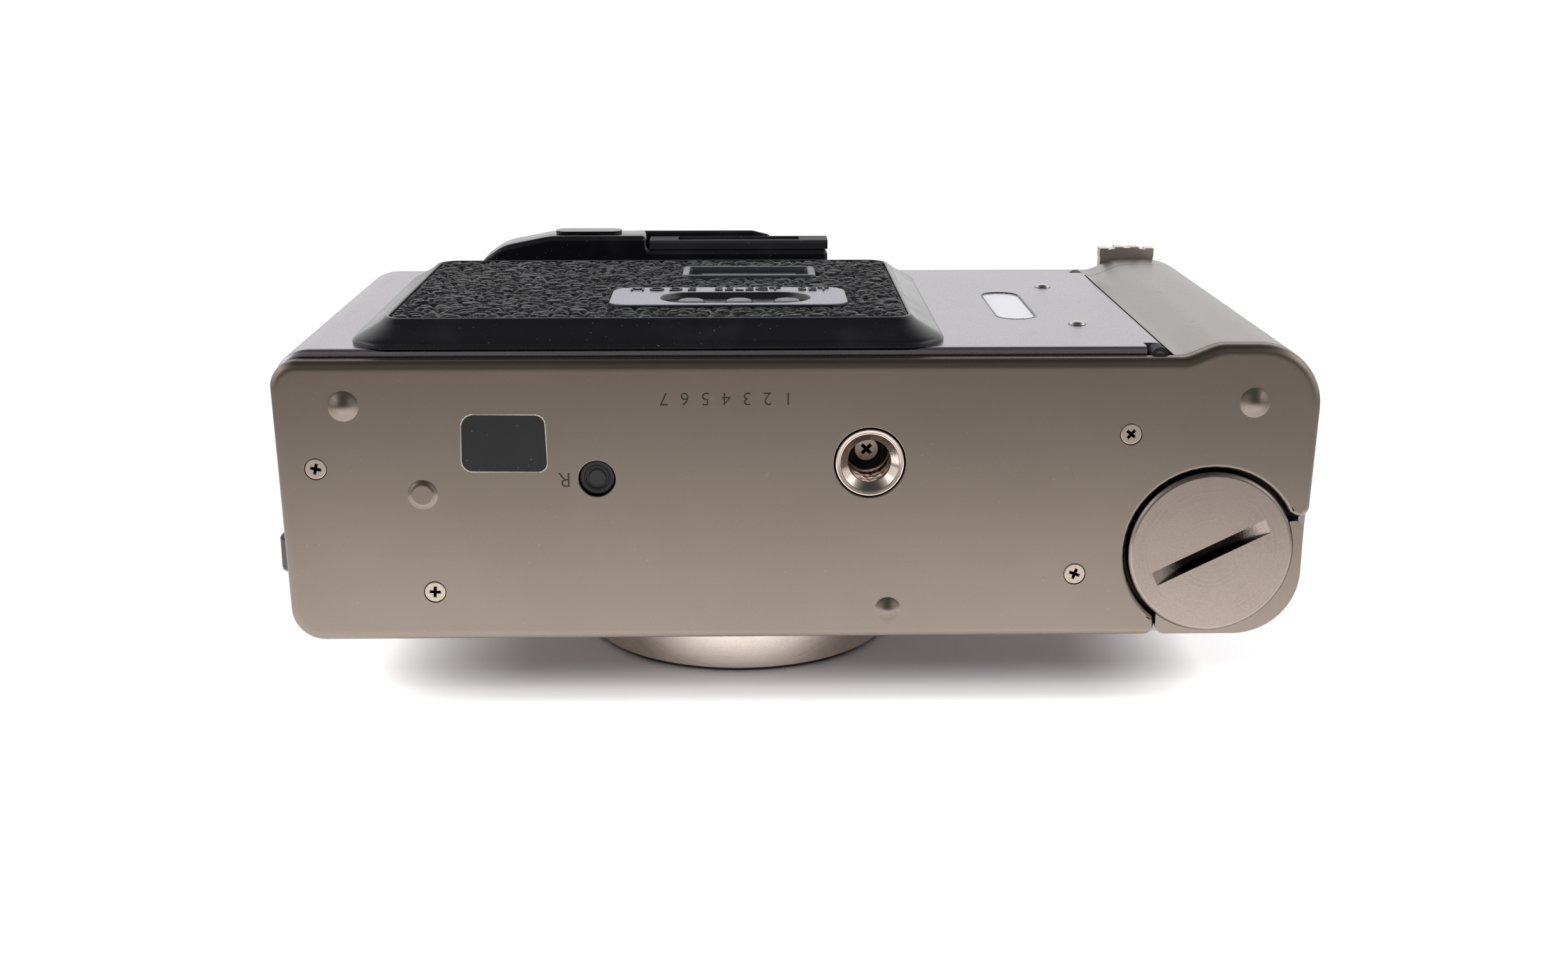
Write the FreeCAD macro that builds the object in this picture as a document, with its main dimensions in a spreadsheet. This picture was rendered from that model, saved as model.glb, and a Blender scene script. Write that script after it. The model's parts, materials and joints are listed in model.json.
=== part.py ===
import FreeCAD, Part
import math
import os
import re
import Sketcher

# A compact 35 mm film camera with a date back, in a pressed metal body.
# Millimetres. +X is the user's left, -Y is the front with the lens, +Z is up.
# Every sketch measures from the middle of the body and from the face of the bottom plate;
# each sub-part's Placement then stands the camera on its feet, centred on its footprint.

V = FreeCAD.Vector

SIZES = {
    # How far a cut runs past the body, or over a face
    "past": 5.0, "over": 1.0,
    # Outline of the body, seen from above
    "body_half": 62.1, "body_front": 17.6, "plate_back": 17.05,
    "left_taper": 0.7, "right_taper": 1.0,
    "grip_back": 18.6, "grip_wide": 12.7, "grip_ramp": 3.8,
    "round_front_left": 4.0, "round_back_left": 3.3, "round_root": 2.4, "round_crest": 5.0,
    "round_back_right": 7.6, "round_front_right": 8.0,
    # Heights of the covers
    "plate_rise": 1.9, "seam": 0.15, "deck": 60.0, "roof": 67.0, "skirt": 53.5, "skirt_back": 8.0,
    "chassis_top": 55.0, "chassis_gap": 0.2,
    # Walls
    "plate_wall": 0.8, "plate_edge": 1.15, "flange_wall": 0.9, "cover_wall": 0.8,
    "roof_wall": 1.0, "roof_edge": 1.8,
    # Feet, screws and tripod socket in the bottom plate
    "foot_height": 0.8, "foot_round": 1.65, "foot_left": 8.6, "foot_right": 8.3, "foot_side": 5.35,
    "foot_middle": 10.7, "foot_front": 3.7, "stud_round": 1.9, "stud_height": 0.35, "stud_end": 17.35,
    "stud_y": 0.9,
    "screw_1_end": 4.9, "screw_1_y": 4.1, "screw_2_end": 18.2, "screw_2_y": 11.3,
    "screw_3_end": 28.8, "screw_3_y": 9.5, "screw_4_end": 22.8, "screw_4_y": 7.9,
    "screw_round": 1.28, "screw_head": 0.6, "screw_shank": 0.75, "screw_length": 4.9,
    "hole_gap": 0.04,
    "socket_x": 8.3, "socket_y": 4.55, "socket_round": 4.1, "socket_gap": 0.18,
    "socket_bore": 2.55, "socket_chamfer": 1.0, "socket_length": 7.4, "socket_undercut": 0.3,
    "deep_screw_head": 1.5, "deep_screw_thick": 0.9, "deep_screw_shank": 0.9, "deep_screw_end": 11.0,
    # Rewind button
    "rewind_x": 24.08, "rewind_y": 2.76, "rewind_round": 2.05, "rewind_hole": 2.2,
    "rewind_sunk": 0.35, "rewind_stem": 1.2, "rewind_top": 5.5, "rewind_travel": 0.6,
    # Battery and its screwed cap
    "battery_end": 12.4, "battery_y": 6.85, "battery_round": 8.5, "battery_length": 33.5,
    "battery_nub": 3.2, "battery_nub_rise": 1.0, "battery_base": 6.2, "battery_gap": 0.25,
    "battery_edge": 0.5,
    "cap_round": 10.0, "cap_proud": 0.25, "cap_head": 1.65, "cap_chamfer": 0.45,
    "cap_thread": 9.0, "cap_thread_end": 4.8, "thread_gap": 0.06,
    "coin_length": 15.0, "coin_width": 1.8, "coin_depth": 1.35, "coin_turn": 64.0,
    "cap_moat": 10.9, "corner_side": 2.6, "corner_end": 18.7, "corner_sunk": 0.35, "moat_round": 1.2,
    "contact_round": 5.5, "contact_thick": 0.9,
    # Chassis: film chambers, light tunnel, lens recess
    "chassis_back": 12.4, "well_floor": 5.2, "well_top": 53.4,
    "cassette_end": 34.9, "cassette_y": 0.2, "cassette_round": 12.7,
    "chamber_skin": 0.35,
    "spool_end": 14.5, "spool_y": 0.2, "spool_well": 12.4, "spool_round": 8.0, "spool_bore": 6.5,
    "sprocket_end": 28.9, "sprocket_y": 6.3, "sprocket_well": 6.9, "sprocket_round": 5.8,
    "sprocket_hub": 3.4, "tooth_rise": 0.8, "tooth_width": 1.2, "tooth_count": 8, "sprocket_wheel": 2.2,
    "film_half_track": 14.2, "journal": 1.5, "journal_length": 1.6, "run_gap": 0.05,
    "motor_round": 6.1, "motor_top": 44.0, "collar_rise": 4.0, "flange_rise": 1.1,
    "fork_base": 1.0, "fork_height": 5.0, "fork_slot": 2.6,
    "lens_x": 7.25, "lens_z": 32.0, "recess_round": 19.0, "recess_back": 4.5,
    "gate_width": 36.0, "gate_height": 24.0, "tunnel_gap": 0.3,
    "gate_margin": 2.2, "gate_rim": 0.8, "gate_plate_rise": 19.0, "gate_plate_thick": 0.8, "rail_rise": 0.35,
    "rail_width": 1.1, "outer_rail": 15.9, "seal_gap": 0.3,
    # Door with its hinge, window and date back
    "hinge_end": 19.4, "hinge_y": 16.9, "knuckle_round": 1.05, "hinge_bore": 0.65, "pin_round": 0.6,
    "door_back": 17.95, "door_wall": 1.1, "door_wrap": 13.6, "door_base_gap": 0.35, "door_edge": 0.7,
    "door_top": 59.7, "knuckle_end": 2.8, "knuckle_gap": 0.15, "notch_reach": 1.5,
    "window_end": 33.6, "window_half": 2.5, "window_low": 20.5, "window_high": 40.3, "window_gap": 0.05,
    "window_flange": 1.0, "window_sunk": 0.12,
    "rivet_end": 26.7, "rivet_low": 16.9, "rivet_high": 44.7, "rivet_round": 1.1, "rivet_rise": 0.45,
    "rivet_shank": 0.7,
    "press_half": 20.4, "press_rise": 16.5, "press_thick": 1.0, "press_gap": 0.25, "leaf_thick": 0.3,
    "leaf_width": 6.0, "leaf_span": 15.0,
    "frame_left": 53.4, "frame_right": 17.5, "frame_low": 2.3, "frame_high": 54.5, "frame_rise": 3.0,
    "frame_slope": 4.2, "frame_round": 5.2, "frame_round_top": 2.4, "lip": 0.7,
    "leather_sunk": 0.45, "leather_proud": 0.05,
    "display_left": 14.9, "display_right": 3.2, "display_low": 35.0, "display_high": 43.4,
    "bezel_wall": 1.15, "bezel_proud": 0.3, "display_sunk": 0.25,
    "pad_left": 23.3, "pad_right": 6.4, "pad_low": 13.3, "pad_high": 25.9, "pad_proud": 0.3,
    "pad_round": 2.6, "oval_left": 17.1, "oval_right": 1.9, "oval_low": 14.4, "oval_high": 22.5,
    "oval_sunk": 0.45, "oval_round": 3.9,
    "key_z": 18.4, "key_first": 1.1, "key_pitch": 6.05, "key_round": 1.65, "key_gap": 0.08,
    "key_rise": 0.35, "key_travel": 0.4, "key_length": 1.5,
    # Door release on the user's left, strap lugs on both sides
    "release_y": 8.8, "release_width": 5.0, "release_low": 6.0, "release_high": 18.0,
    "release_out": 2.0, "release_travel": 4.0, "release_stem": 2.4, "release_bar": 1.2,
    "lug_z": 49.0, "lug_y": 3.0, "lug_out": 2.0, "lug_length": 8.0, "lug_rise": 1.6, "lug_bar": 0.9,
    # Lens
    "mount_round": 20.2, "mount_bore": 18.3, "mount_out": 8.4, "flange_thick": 1.0,
    "ring_out": 0.6, "ring_inset": 0.35,
    "barrel_round": 18.1, "barrel_wall": 1.3, "barrel_sunk": 0.5, "barrel_length": 17.5,
    "bezel_sunk": 0.3, "bezel_thick": 1.4, "bezel_open": 9.6, "bezel_step": 8.0,
    "blade_round": 8.3, "blade_thick": 0.4, "blade_arm": 13.5, "blade_pin": 0.7,
    "blade_lug": 1.7, "blade_gap": 0.12,
    "cell_round": 10.4, "cell_bore": 8.7, "cell_length": 9.0, "glass_round": 8.6, "glass_thick": 3.2,
    "housing_round": 16.6, "housing_thick": 1.4, "housing_hole": 5.2,
    "leaf_round": 5.9, "leaf_arm": 9.2, "rear_round": 7.0, "rear_thick": 2.4,
    # Finder block at the back of the top cover
    "block_left": 45.3, "block_right": 5.9, "block_back": 23.0, "block_front": 14.6, "block_slope": 35.0,
    "block_bend": 14.3,
    "block_foot": 18.9, "block_fillet": 0.9, "nose": 2.6, "nose_back": 21.3,
    "eye_left": 20.4, "eye_back": 22.3, "eye_seat": 21.0, "eye_top": 65.6, "eye_base": 60.5,
    "eye_open_left": 16.2, "eye_open_right": 1.7, "eye_bar": 0.9, "eye_glass": 1.2,
    "slider_x": 29.5, "slider_half": 4.9, "slider_z": 63.8, "slider_rise": 1.8, "slider_out": 0.45,
    "slider_travel": 1.5, "slider_stem": 1.3, "slider_slot": 1.4,
    # Windows in the front of the top cover
    "finder_left": 14.2, "finder_right": 0.4, "finder_low": 57.2, "finder_high": 64.4,
    "focus_left": -7.0, "focus_right": 23.0, "focus_low": 57.8, "focus_high": 63.2,
    "flash_left": 47.5, "flash_right": 23.5, "flash_low": 56.0, "flash_high": 64.6,
    "lamp_x": 32.0, "lamp_z": 60.6, "lamp_round": 2.1,
    "glazing_thick": 1.5, "glazing_gap": 0.06, "glazing_round": 1.2, "reflector_deep": 6.0,
    "reflector_wall": 0.6, "reflector_gap": 0.2, "reflector_groove": 1.5,
    "board_base": 56.2, "board_thick": 1.0, "board_left": 54.0, "board_right": 38.0,
    "board_front": 5.0, "board_back": 11.5, "post_round": 1.5, "post_inset": 3.0,
    # Controls on the roof
    "ring_end": 10.3, "ring_y": 6.3, "ring_round": 8.4, "ring_bore": 5.7, "ring_rise": 2.0, "ring_gap": 0.1,
    "ring_neck": 6.6, "neck_depth": 1.6, "tab_reach": 14.0, "tab_half": 4.2, "rib_count": 4,
    "rib_pitch": 2.3, "rib_depth": 0.8, "rib_valley": 1.0, "rib_fall": 0.2,
    "shutter_round": 5.0, "shutter_rise": 2.9, "shutter_skirt": 3.2, "shutter_dish": 0.2,
    "key_edge": 0.4,
    "panel_left": -9.0, "panel_right": 33.0, "panel_front": 7.0, "panel_back": 7.5, "panel_thick": 1.2,
    "roof_key_x": 0.0, "roof_key_y": 3.0, "roof_key_round": 2.6,
    "roof_key_rise": 0.8, "roof_key_length": 2.6,
}
# Places along the body, each measured from the end that it stays near
PLACES = {
    "battery_x": "(body_half - battery_end)", "corner_front": "(body_half - corner_end)",
    "cassette_x": "(body_half - cassette_end)", "spool_x": "(body_half - spool_end)",
    "sprocket_x": "(body_half - sprocket_end)", "hinge_x": "(body_half - hinge_end)",
    "window_x": "(body_half - window_end)", "rivet_x": "(body_half - rivet_end)",
    "ring_x": "(body_half - ring_end)",
}
FEET = [("body_half - foot_left", "plate_back - foot_side"),
        ("-body_half + foot_right", "plate_back - foot_side"),
        ("-foot_middle", "-body_front + foot_front")]
STUD = ("body_half - stud_end", "stud_y")
SCREWS = [("body_half - screw_1_end", "screw_1_y"), ("body_half - screw_2_end", "-screw_2_y"),
          ("-body_half + screw_3_end", "-screw_3_y"), ("-body_half + screw_4_end", "screw_4_y")]

doc = FreeCAD.newDocument("film_camera")
sheet = doc.addObject("Spreadsheet::Sheet", "dim")
for row, (alias, number) in enumerate(SIZES.items(), start=1):
    sheet.set("A%d" % row, alias)
    sheet.set("B%d" % row, str(number))
    sheet.setAlias("B%d" % row, alias)
doc.recompute()


WORD = re.compile(r"[a-z][a-z0-9_]*")


def spelled(text):
    """The same formula with each place written out in sizes."""
    return WORD.sub(lambda word: PLACES.get(word[0], word[0]), text)


def bound(text):
    """The same formula with each size read from the sheet."""
    return WORD.sub(lambda word: "dim." + word[0] if word[0] in SIZES else word[0], spelled(text))


def size(text):
    """The number that a formula on the sheet's sizes has now."""
    return float(sheet.evalExpression(spelled(text)))


# Where the camera's footprint is centred: the lens ring in front, the slider's face behind.
FRONT_REACH = "(body_front + mount_out + ring_out)"
BACK_REACH = "(block_back + slider_out)"
FIRST_COVER_Z = "(plate_rise + seam)"
CHASSIS_BASE = "(plate_rise + chassis_gap)"
CHASSIS_INSET = "(cover_wall + seam)"


def stand(thing):
    """Bind a sub-part's Placement, which puts it where the whole camera stands."""
    thing.setExpression("Placement.Base.y", bound("(%s - %s) / 2" % (FRONT_REACH, BACK_REACH)))
    thing.setExpression("Placement.Base.z", bound("foot_height"))


def constrain(sketch, kind, geometry, point, text):
    """A distance or radius in a sketch, bound to a formula."""
    place = (geometry, point) if point else (geometry,)
    index = sketch.addConstraint(Sketcher.Constraint(kind, *place, size(text)))
    sketch.setExpression("Constraints[%d]" % index, bound(text))


def circle(sketch, x, y, radius):
    """A full circle with its centre and radius bound."""
    geometry = sketch.addGeometry(Part.Circle(V(size(x), size(y), 0), V(0, 0, 1), size(radius)))
    constrain(sketch, "DistanceX", geometry, 3, x)
    constrain(sketch, "DistanceY", geometry, 3, y)
    constrain(sketch, "Radius", geometry, None, radius)


def loop(sketch, corners):
    """A closed outline through corners (x, y). A corner (x, y, radius) is reached by an arc,
    counter-clockwise where the radius is positive and clockwise where it is negative."""
    spots = [V(size(corner[0]), size(corner[1]), 0) for corner in corners]
    ends = []
    for number, corner in enumerate(corners):
        start, stop = spots[number - 1], spots[number]
        if len(corner) == 2:
            geometry = sketch.addGeometry(Part.LineSegment(start, stop))
            ends.append((geometry, 1, 2))
            continue
        radius = size(corner[2])
        half = (stop - start) * 0.5
        side = V(-half.y, half.x, 0).normalize() * math.copysign(1.0, radius)
        centre = start + half + side * math.sqrt(max(radius * radius - half.Length ** 2, 0.0))
        first, last = (start, stop) if radius > 0 else (stop, start)
        begin = math.atan2(first.y - centre.y, first.x - centre.x)
        finish = math.atan2(last.y - centre.y, last.x - centre.x)
        if finish <= begin:
            finish += 2 * math.pi
        rim = Part.Circle(centre, V(0, 0, 1), abs(radius))
        geometry = sketch.addGeometry(Part.ArcOfCircle(rim, begin, finish))
        ends.append((geometry, 1, 2) if radius > 0 else (geometry, 2, 1))
        constrain(sketch, "Radius", geometry, None, corner[2] if radius > 0 else "-(%s)" % corner[2])
    for number, (geometry, start, stop) in enumerate(ends):
        following = ends[(number + 1) % len(ends)]
        sketch.addConstraint(Sketcher.Constraint("Coincident", geometry, stop, following[0], following[1]))
        constrain(sketch, "DistanceX", geometry, stop, corners[number][0])
        constrain(sketch, "DistanceY", geometry, stop, corners[number][1])


def smooth(sketch, corners):
    """A closed outline of straight sides whose corners (x, y, radius) are round: each arc is
    tangent to its two sides, and the sides would meet in the bound corner."""
    spots = [V(size(x), size(y), 0) for x, y, radius in corners]
    touches = []
    for number, corner in enumerate(corners):
        spot, radius = spots[number], size(corner[2])
        back = (spots[number - 1] - spot).normalize()
        ahead = (spots[(number + 1) % len(spots)] - spot).normalize()
        reach = radius / math.tan(back.getAngle(ahead) / 2)
        middle = spot + (back + ahead).normalize() * math.hypot(reach, radius)
        touches.append((spot + back * reach, spot + ahead * reach, middle, radius))
    sides = [sketch.addGeometry(Part.LineSegment(touches[number - 1][1], touches[number][0]))
             for number in range(len(corners))]
    for number, corner in enumerate(corners):
        enter, leave, middle, radius = touches[number]
        before, after = sides[number], sides[(number + 1) % len(sides)]
        turns_left = (spots[number] - enter).cross(leave - spots[number]).z > 0
        first, last = (enter, leave) if turns_left else (leave, enter)
        begin = math.atan2(first.y - middle.y, first.x - middle.x)
        finish = math.atan2(last.y - middle.y, last.x - middle.x)
        if finish <= begin:
            finish += 2 * math.pi
        arc = sketch.addGeometry(Part.ArcOfCircle(Part.Circle(middle, V(0, 0, 1), radius), begin, finish))
        start, stop = (1, 2) if turns_left else (2, 1)
        sketch.addConstraint(Sketcher.Constraint("Tangent", before, 2, arc, start))
        sketch.addConstraint(Sketcher.Constraint("Tangent", after, 1, arc, stop))
        point = sketch.addGeometry(Part.Point(spots[number]), True)
        sketch.addConstraint(Sketcher.Constraint("PointOnObject", point, 1, before))
        sketch.addConstraint(Sketcher.Constraint("PointOnObject", point, 1, after))
        constrain(sketch, "DistanceX", point, 1, corner[0])
        constrain(sketch, "DistanceY", point, 1, corner[1])
        constrain(sketch, "Radius", arc, None, corner[2])


def rounded(sketch, left, right, low, high, radius):
    """A rectangle with four round corners."""
    smooth(sketch, [(left, low, radius), (right, low, radius), (right, high, radius), (left, high, radius)])


def rectangle(sketch, left, right, low, high):
    """A rectangle with sharp corners."""
    loop(sketch, [(left, low), (right, low), (right, high), (left, high)])


class Piece:
    """A sub-part, made feature by feature in a body of its own."""

    def __init__(self, label):
        self.body = doc.addObject("PartDesign::Body", label)
        self.body.Label = label
        self.body.AllowCompound = True
        stand(self.body)

    def sketch(self, plane, x="0", y="0", z="0"):
        """A sketch on one of the body's planes, with its origin moved to (x, y, z)."""
        face = next(item for item in self.body.Origin.OriginFeatures if item.Role == plane + "_Plane")
        sketch = self.body.newObject("Sketcher::SketchObject", self.body.Label + "_sketch")
        sketch.AttachmentSupport = [(face, "")]
        sketch.MapMode = "FlatFace"
        offset = {"XY": (x, y, z), "XZ": (x, z, "-(%s)" % y), "YZ": (y, z, x)}[plane]
        for name, text in zip("xyz", offset):
            sketch.setExpression("AttachmentOffset.Base." + name, bound(text))
        return sketch

    def feature(self, kind, sketch):
        """A feature on a sketch, after the tip."""
        feature = self.body.newObject("PartDesign::" + kind, "%s_%s" % (self.body.Label, kind.lower()))
        feature.Profile = sketch
        return feature

    def pad(self, sketch, length):
        """Add the sketch's area, drawn out along the positive axis."""
        pad = self.feature("Pad", sketch)
        pad.setExpression("Length", bound(length))
        pad.Reversed = sketch.AttachmentSupport[0][0].Role == "XZ_Plane"
        return pad

    def pocket(self, sketch, length):
        """Take the sketch's area away along the positive axis, and make sure that it cut."""
        doc.recompute()
        before = self.body.Shape.Volume
        pocket = self.feature("Pocket", sketch)
        pocket.setExpression("Length", bound(length))
        pocket.Reversed = sketch.AttachmentSupport[0][0].Role != "XZ_Plane"
        doc.recompute()
        if self.body.Shape.Volume >= before - 1e-6:
            raise RuntimeError("a pocket in %s cut nothing" % self.body.Label)
        return pocket

    def turn(self, sketch, axis="V_Axis", cut=False):
        """Add or cut the sketch's area, turned about one of the sketch's own axes."""
        doc.recompute()
        feature = self.feature("Groove" if cut else "Revolution", sketch)
        feature.ReferenceAxis = (sketch, [axis])
        feature.Angle = 360
        return feature

    def edges(self, kind, test, radius):
        """Fillet or chamfer the edges of the tip that pass a test."""
        doc.recompute()
        base = self.body.Tip
        names = ["Edge%d" % number for number, edge in enumerate(base.Shape.Edges, start=1) if test(edge)]
        if not names:
            raise RuntimeError("no edge to finish in %s" % self.body.Label)
        feature = self.body.newObject("PartDesign::" + kind, "%s_%s" % (self.body.Label, kind.lower()))
        feature.Base = (base, names)
        feature.setExpression("Radius" if kind == "Fillet" else "Size", bound(radius))
        return feature


def near(one, other):
    return abs(one - other) < 1e-4


def upright(x, y):
    """A test for edges that stand at (x, y)."""
    return lambda edge: all(near(v.X, size(x)) and near(v.Y, size(y)) for v in edge.Vertexes)


def at_height(z):
    """A test for edges that lie wholly at one height."""
    return lambda edge: near(edge.BoundBox.ZMin, size(z)) and near(edge.BoundBox.ZMax, size(z))


def at_depth(y):
    """A test for edges that lie wholly at one depth."""
    return lambda edge: near(edge.BoundBox.YMin, size(y)) and near(edge.BoundBox.YMax, size(y))


def sphere(half, height):
    """The radius of a dome or a bow from half its width and its height."""
    return "((%s) * (%s) + (%s) * (%s)) / 2 / (%s)" % (half, half, height, height, height)


def body_corners(inset):
    """The corners of the body's outline with their roundings, drawn in by an inset."""
    return [
        ("body_half - left_taper - %s" % inset, "-body_front + %s" % inset, "round_front_left - %s" % inset),
        ("body_half - %s" % inset, "plate_back - %s" % inset, "round_back_left - %s" % inset),
        ("-body_half + grip_wide + grip_ramp", "plate_back - %s" % inset, "round_root + %s" % inset),
        ("-body_half + grip_wide", "grip_back - %s" % inset, "round_crest - %s" % inset),
        ("-body_half + %s" % inset, "grip_back - %s" % inset, "round_back_right - %s" % inset),
        ("-body_half + right_taper + %s" % inset, "-body_front + %s" % inset,
         "round_front_right - %s" % inset),
    ]


def body_prism(piece, inset, base, top, cut=False):
    """The body's outline as a prism, or as a pocket."""
    sketch = piece.sketch("XY", z=base)
    smooth(sketch, body_corners(inset))
    length = "%s - (%s)" % (top, base)
    return piece.pocket(sketch, length) if cut else piece.pad(sketch, length)


def block(piece, plane, at, box, length, cut=False, radius=None):
    """A straight block or cut: a rectangle on a plane at a place along its axis."""
    place = {"XY": {"z": at}, "XZ": {"y": at}, "YZ": {"x": at}}[plane]
    sketch = piece.sketch(plane, **place)
    if radius:
        rounded(sketch, *box, radius)
    else:
        rectangle(sketch, *box)
    return piece.pocket(sketch, length) if cut else piece.pad(sketch, length)


def rods(piece, plane, at, circles, length, cut=False):
    """Round rods or holes, all on one plane."""
    place = {"XY": {"z": at}, "XZ": {"y": at}, "YZ": {"x": at}}[plane]
    sketch = piece.sketch(plane, **place)
    for x, y, radius in circles:
        circle(sketch, x, y, radius)
    return piece.pocket(sketch, length) if cut else piece.pad(sketch, length)


def turned(piece, x, y, z, profile, cut=False):
    """A piece turned about an upright axis: the profile is (radius, height)."""
    sketch = piece.sketch("XZ", x=x, y=y, z=z)
    loop(sketch, profile)
    return piece.turn(sketch, "V_Axis", cut)


def turned_along_lens(piece, profile, cut=False):
    """A piece turned about the lens axis: the profile is (place along Y, radius)."""
    sketch = piece.sketch("YZ", x="lens_x", z="lens_z")
    loop(sketch, profile)
    return piece.turn(sketch, "H_Axis", cut)


def bottom_plate():
    piece = Piece("bottom_plate")
    body_prism(piece, "0", "0", "plate_rise")
    piece.edges("Fillet", at_height("0"), "plate_edge")
    body_prism(piece, "flange_wall", "plate_wall", "plate_rise", cut=True)
    holes = [("-socket_x", "socket_y", "socket_round + socket_gap"), ("rewind_x", "rewind_y", "rewind_hole")]
    holes += [(x, y, "screw_round + hole_gap") for x, y in SCREWS]
    rods(piece, "XY", "0", holes, "plate_rise", cut=True)
    rods(piece, "XY", "0", [("-battery_x", "-battery_y", "cap_moat")], "plate_rise", cut=True)
    corner = piece.sketch("XY")
    loop(corner, [("-battery_x", "-battery_y"), ("-corner_front", "-body_front + corner_sunk * 4"),
                  ("-corner_front", "-body_front - past"), ("-body_half - past", "-body_front - past"),
                  ("-body_half - past", "-corner_side"), ("-body_half + corner_sunk * 6", "-corner_side")])
    piece.pocket(corner, "plate_rise")
    for x, y in FEET:
        turned(piece, x, y, "0", [("0", "plate_wall / 2"), ("0", "-foot_height"),
                                  ("foot_round", "0", sphere("foot_round", "foot_height")),
                                  ("foot_round", "plate_wall / 2")])
    turned(piece, *STUD, "0", [("0", "plate_wall / 2"), ("0", "-stud_height"),
                               ("stud_round - stud_height", "-stud_height"),
                               ("stud_round", "0", "stud_height"), ("stud_round", "plate_wall / 2")])
    return piece


def bottom_screws():
    """The four screws of the plate, and the one deep inside the tripod socket."""
    piece = Piece("bottom_screws")
    rods(piece, "XY", "0", [(x, y, "screw_round") for x, y in SCREWS], "screw_head")
    rods(piece, "XY", "screw_head", [(x, y, "screw_shank") for x, y in SCREWS], "screw_length - screw_head")
    head = "socket_length - deep_screw_thick"
    turned(piece, "-socket_x", "socket_y", "0", [
        ("0", head), ("deep_screw_head", head), ("deep_screw_head", "socket_length"),
        ("deep_screw_shank", "socket_length"), ("deep_screw_shank", "deep_screw_end"),
        ("0", "deep_screw_end")])
    return piece


def tripod_socket():
    """The threaded bush. Its thread ends in an undercut, where the deep screw's head lies."""
    piece = Piece("tripod_socket")
    wide, thread_end = "socket_bore + socket_undercut", "socket_length - deep_screw_thick - socket_undercut"
    turned(piece, "-socket_x", "socket_y", "0", [
        ("socket_bore + socket_chamfer", "0"), ("socket_round", "0"), ("socket_round", "socket_length"),
        (wide, "socket_length"), (wide, thread_end), ("socket_bore", thread_end),
        ("socket_bore", "socket_chamfer")])
    return piece


def front_cover():
    """The wrapped shell: front, both sides and the thumb bulge, open behind for the door. Its
    own floor shows in the corner round the battery cap."""
    piece = Piece("front_cover")
    body_prism(piece, "0", FIRST_COVER_Z, "deck")
    body_prism(piece, "cover_wall", FIRST_COVER_Z, "deck", cut=True)
    edge = "-body_half + right_taper + cover_wall / 4"
    front = "-body_front + cover_wall / 4"
    floor = piece.sketch("XY", z="corner_sunk")
    smooth(floor, [
        ("-corner_front - seam", front, "moat_round"), ("-corner_front - seam", "-battery_y", "moat_round"),
        (edge, "-corner_side - seam", "moat_round"), (edge, front, "round_front_right - cover_wall / 4")])
    piece.pad(floor, "plate_rise + seam * 3 - corner_sunk")
    rods(piece, "XY", "0", [("-battery_x", "-battery_y", "cap_round + key_gap")], "plate_rise + over",
         cut=True)
    block(piece, "XY", "0", ("-hinge_x - knuckle_round - seam * 4", "body_half + past", "door_wrap - seam",
                             "grip_back + past"), "deck", cut=True)
    block(piece, "XY", "skirt - seam", ("-body_half - past", "body_half + past", "-body_front - past",
                                        "-skirt_back"), "deck", cut=True)
    rods(piece, "XZ", "-body_front - over", [("lens_x", "lens_z", "mount_round + hole_gap")],
         "cover_wall + over * 2", cut=True)
    block(piece, "YZ", "body_half - 3 * cover_wall",
          ("-release_y - release_stem / 2 - key_gap", "-release_y + release_stem / 2 + key_gap",
           "(release_low + release_high - release_stem) / 2 - release_travel - key_gap",
           "(release_low + release_high + release_stem) / 2 + key_gap"), "4 * cover_wall", cut=True)
    for side in ("", "-"):
        for foot in ("lug_y - (lug_length - lug_bar) / 2", "lug_y + (lug_length - lug_bar) / 2"):
            block(piece, "YZ", "%s(body_half - cover_wall / 2) - over" % side,
                  (foot + " - lug_bar / 2 - hole_gap", foot + " + lug_bar / 2 + hole_gap",
                   "lug_z - lug_rise / 2 - hole_gap", "lug_z + lug_rise / 2 + hole_gap"), "over * 2",
                  cut=True)
    return piece


def top_cover():
    piece = Piece("top_cover")
    body_prism(piece, "0", "skirt", "roof")
    piece.edges("Fillet", at_height("roof"), "roof_edge")
    block(piece, "XY", "skirt - over",
          ("-body_half - past", "body_half + past", "-skirt_back", "grip_back + past"),
          "deck + seam - skirt + over", cut=True)
    body_prism(piece, "cover_wall", "skirt - over", "roof - roof_wall", cut=True)
    block(piece, "XY", "deck",
          ("-block_right - seam", "block_left + seam", "block_front - seam", "grip_back + past"),
          "roof - deck + over", cut=True)
    front = "-body_front - over"
    for left, right, low, high in (("finder_right", "finder_left", "finder_low", "finder_high"),
                                   ("-focus_right", "focus_left", "focus_low", "focus_high"),
                                   ("flash_right", "flash_left", "flash_low", "flash_high")):
        block(piece, "XZ", front, (left, right, low, high), "cover_wall + over * 2", cut=True,
              radius="glazing_round")
    rods(piece, "XZ", front, [("-lamp_x", "lamp_z", "lamp_round")], "cover_wall + over * 2", cut=True)
    under, depth = "roof - roof_wall - over", "roof_wall + over * 2"
    rods(piece, "XY", under, [("-ring_x", "ring_y", "ring_neck + ring_gap")], depth, cut=True)
    rods(piece, "XY", under, [("roof_key_x", "-roof_key_y", "roof_key_round + key_gap")], depth, cut=True)
    block(piece, "XY", under, ("-panel_right", "panel_left", "-panel_front", "panel_back"), depth,
          cut=True, radius="glazing_round")
    return piece


EYE_OPENING = ("-eye_open_right", "eye_open_left", "eye_base + eye_bar", "eye_top - eye_bar")


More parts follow.
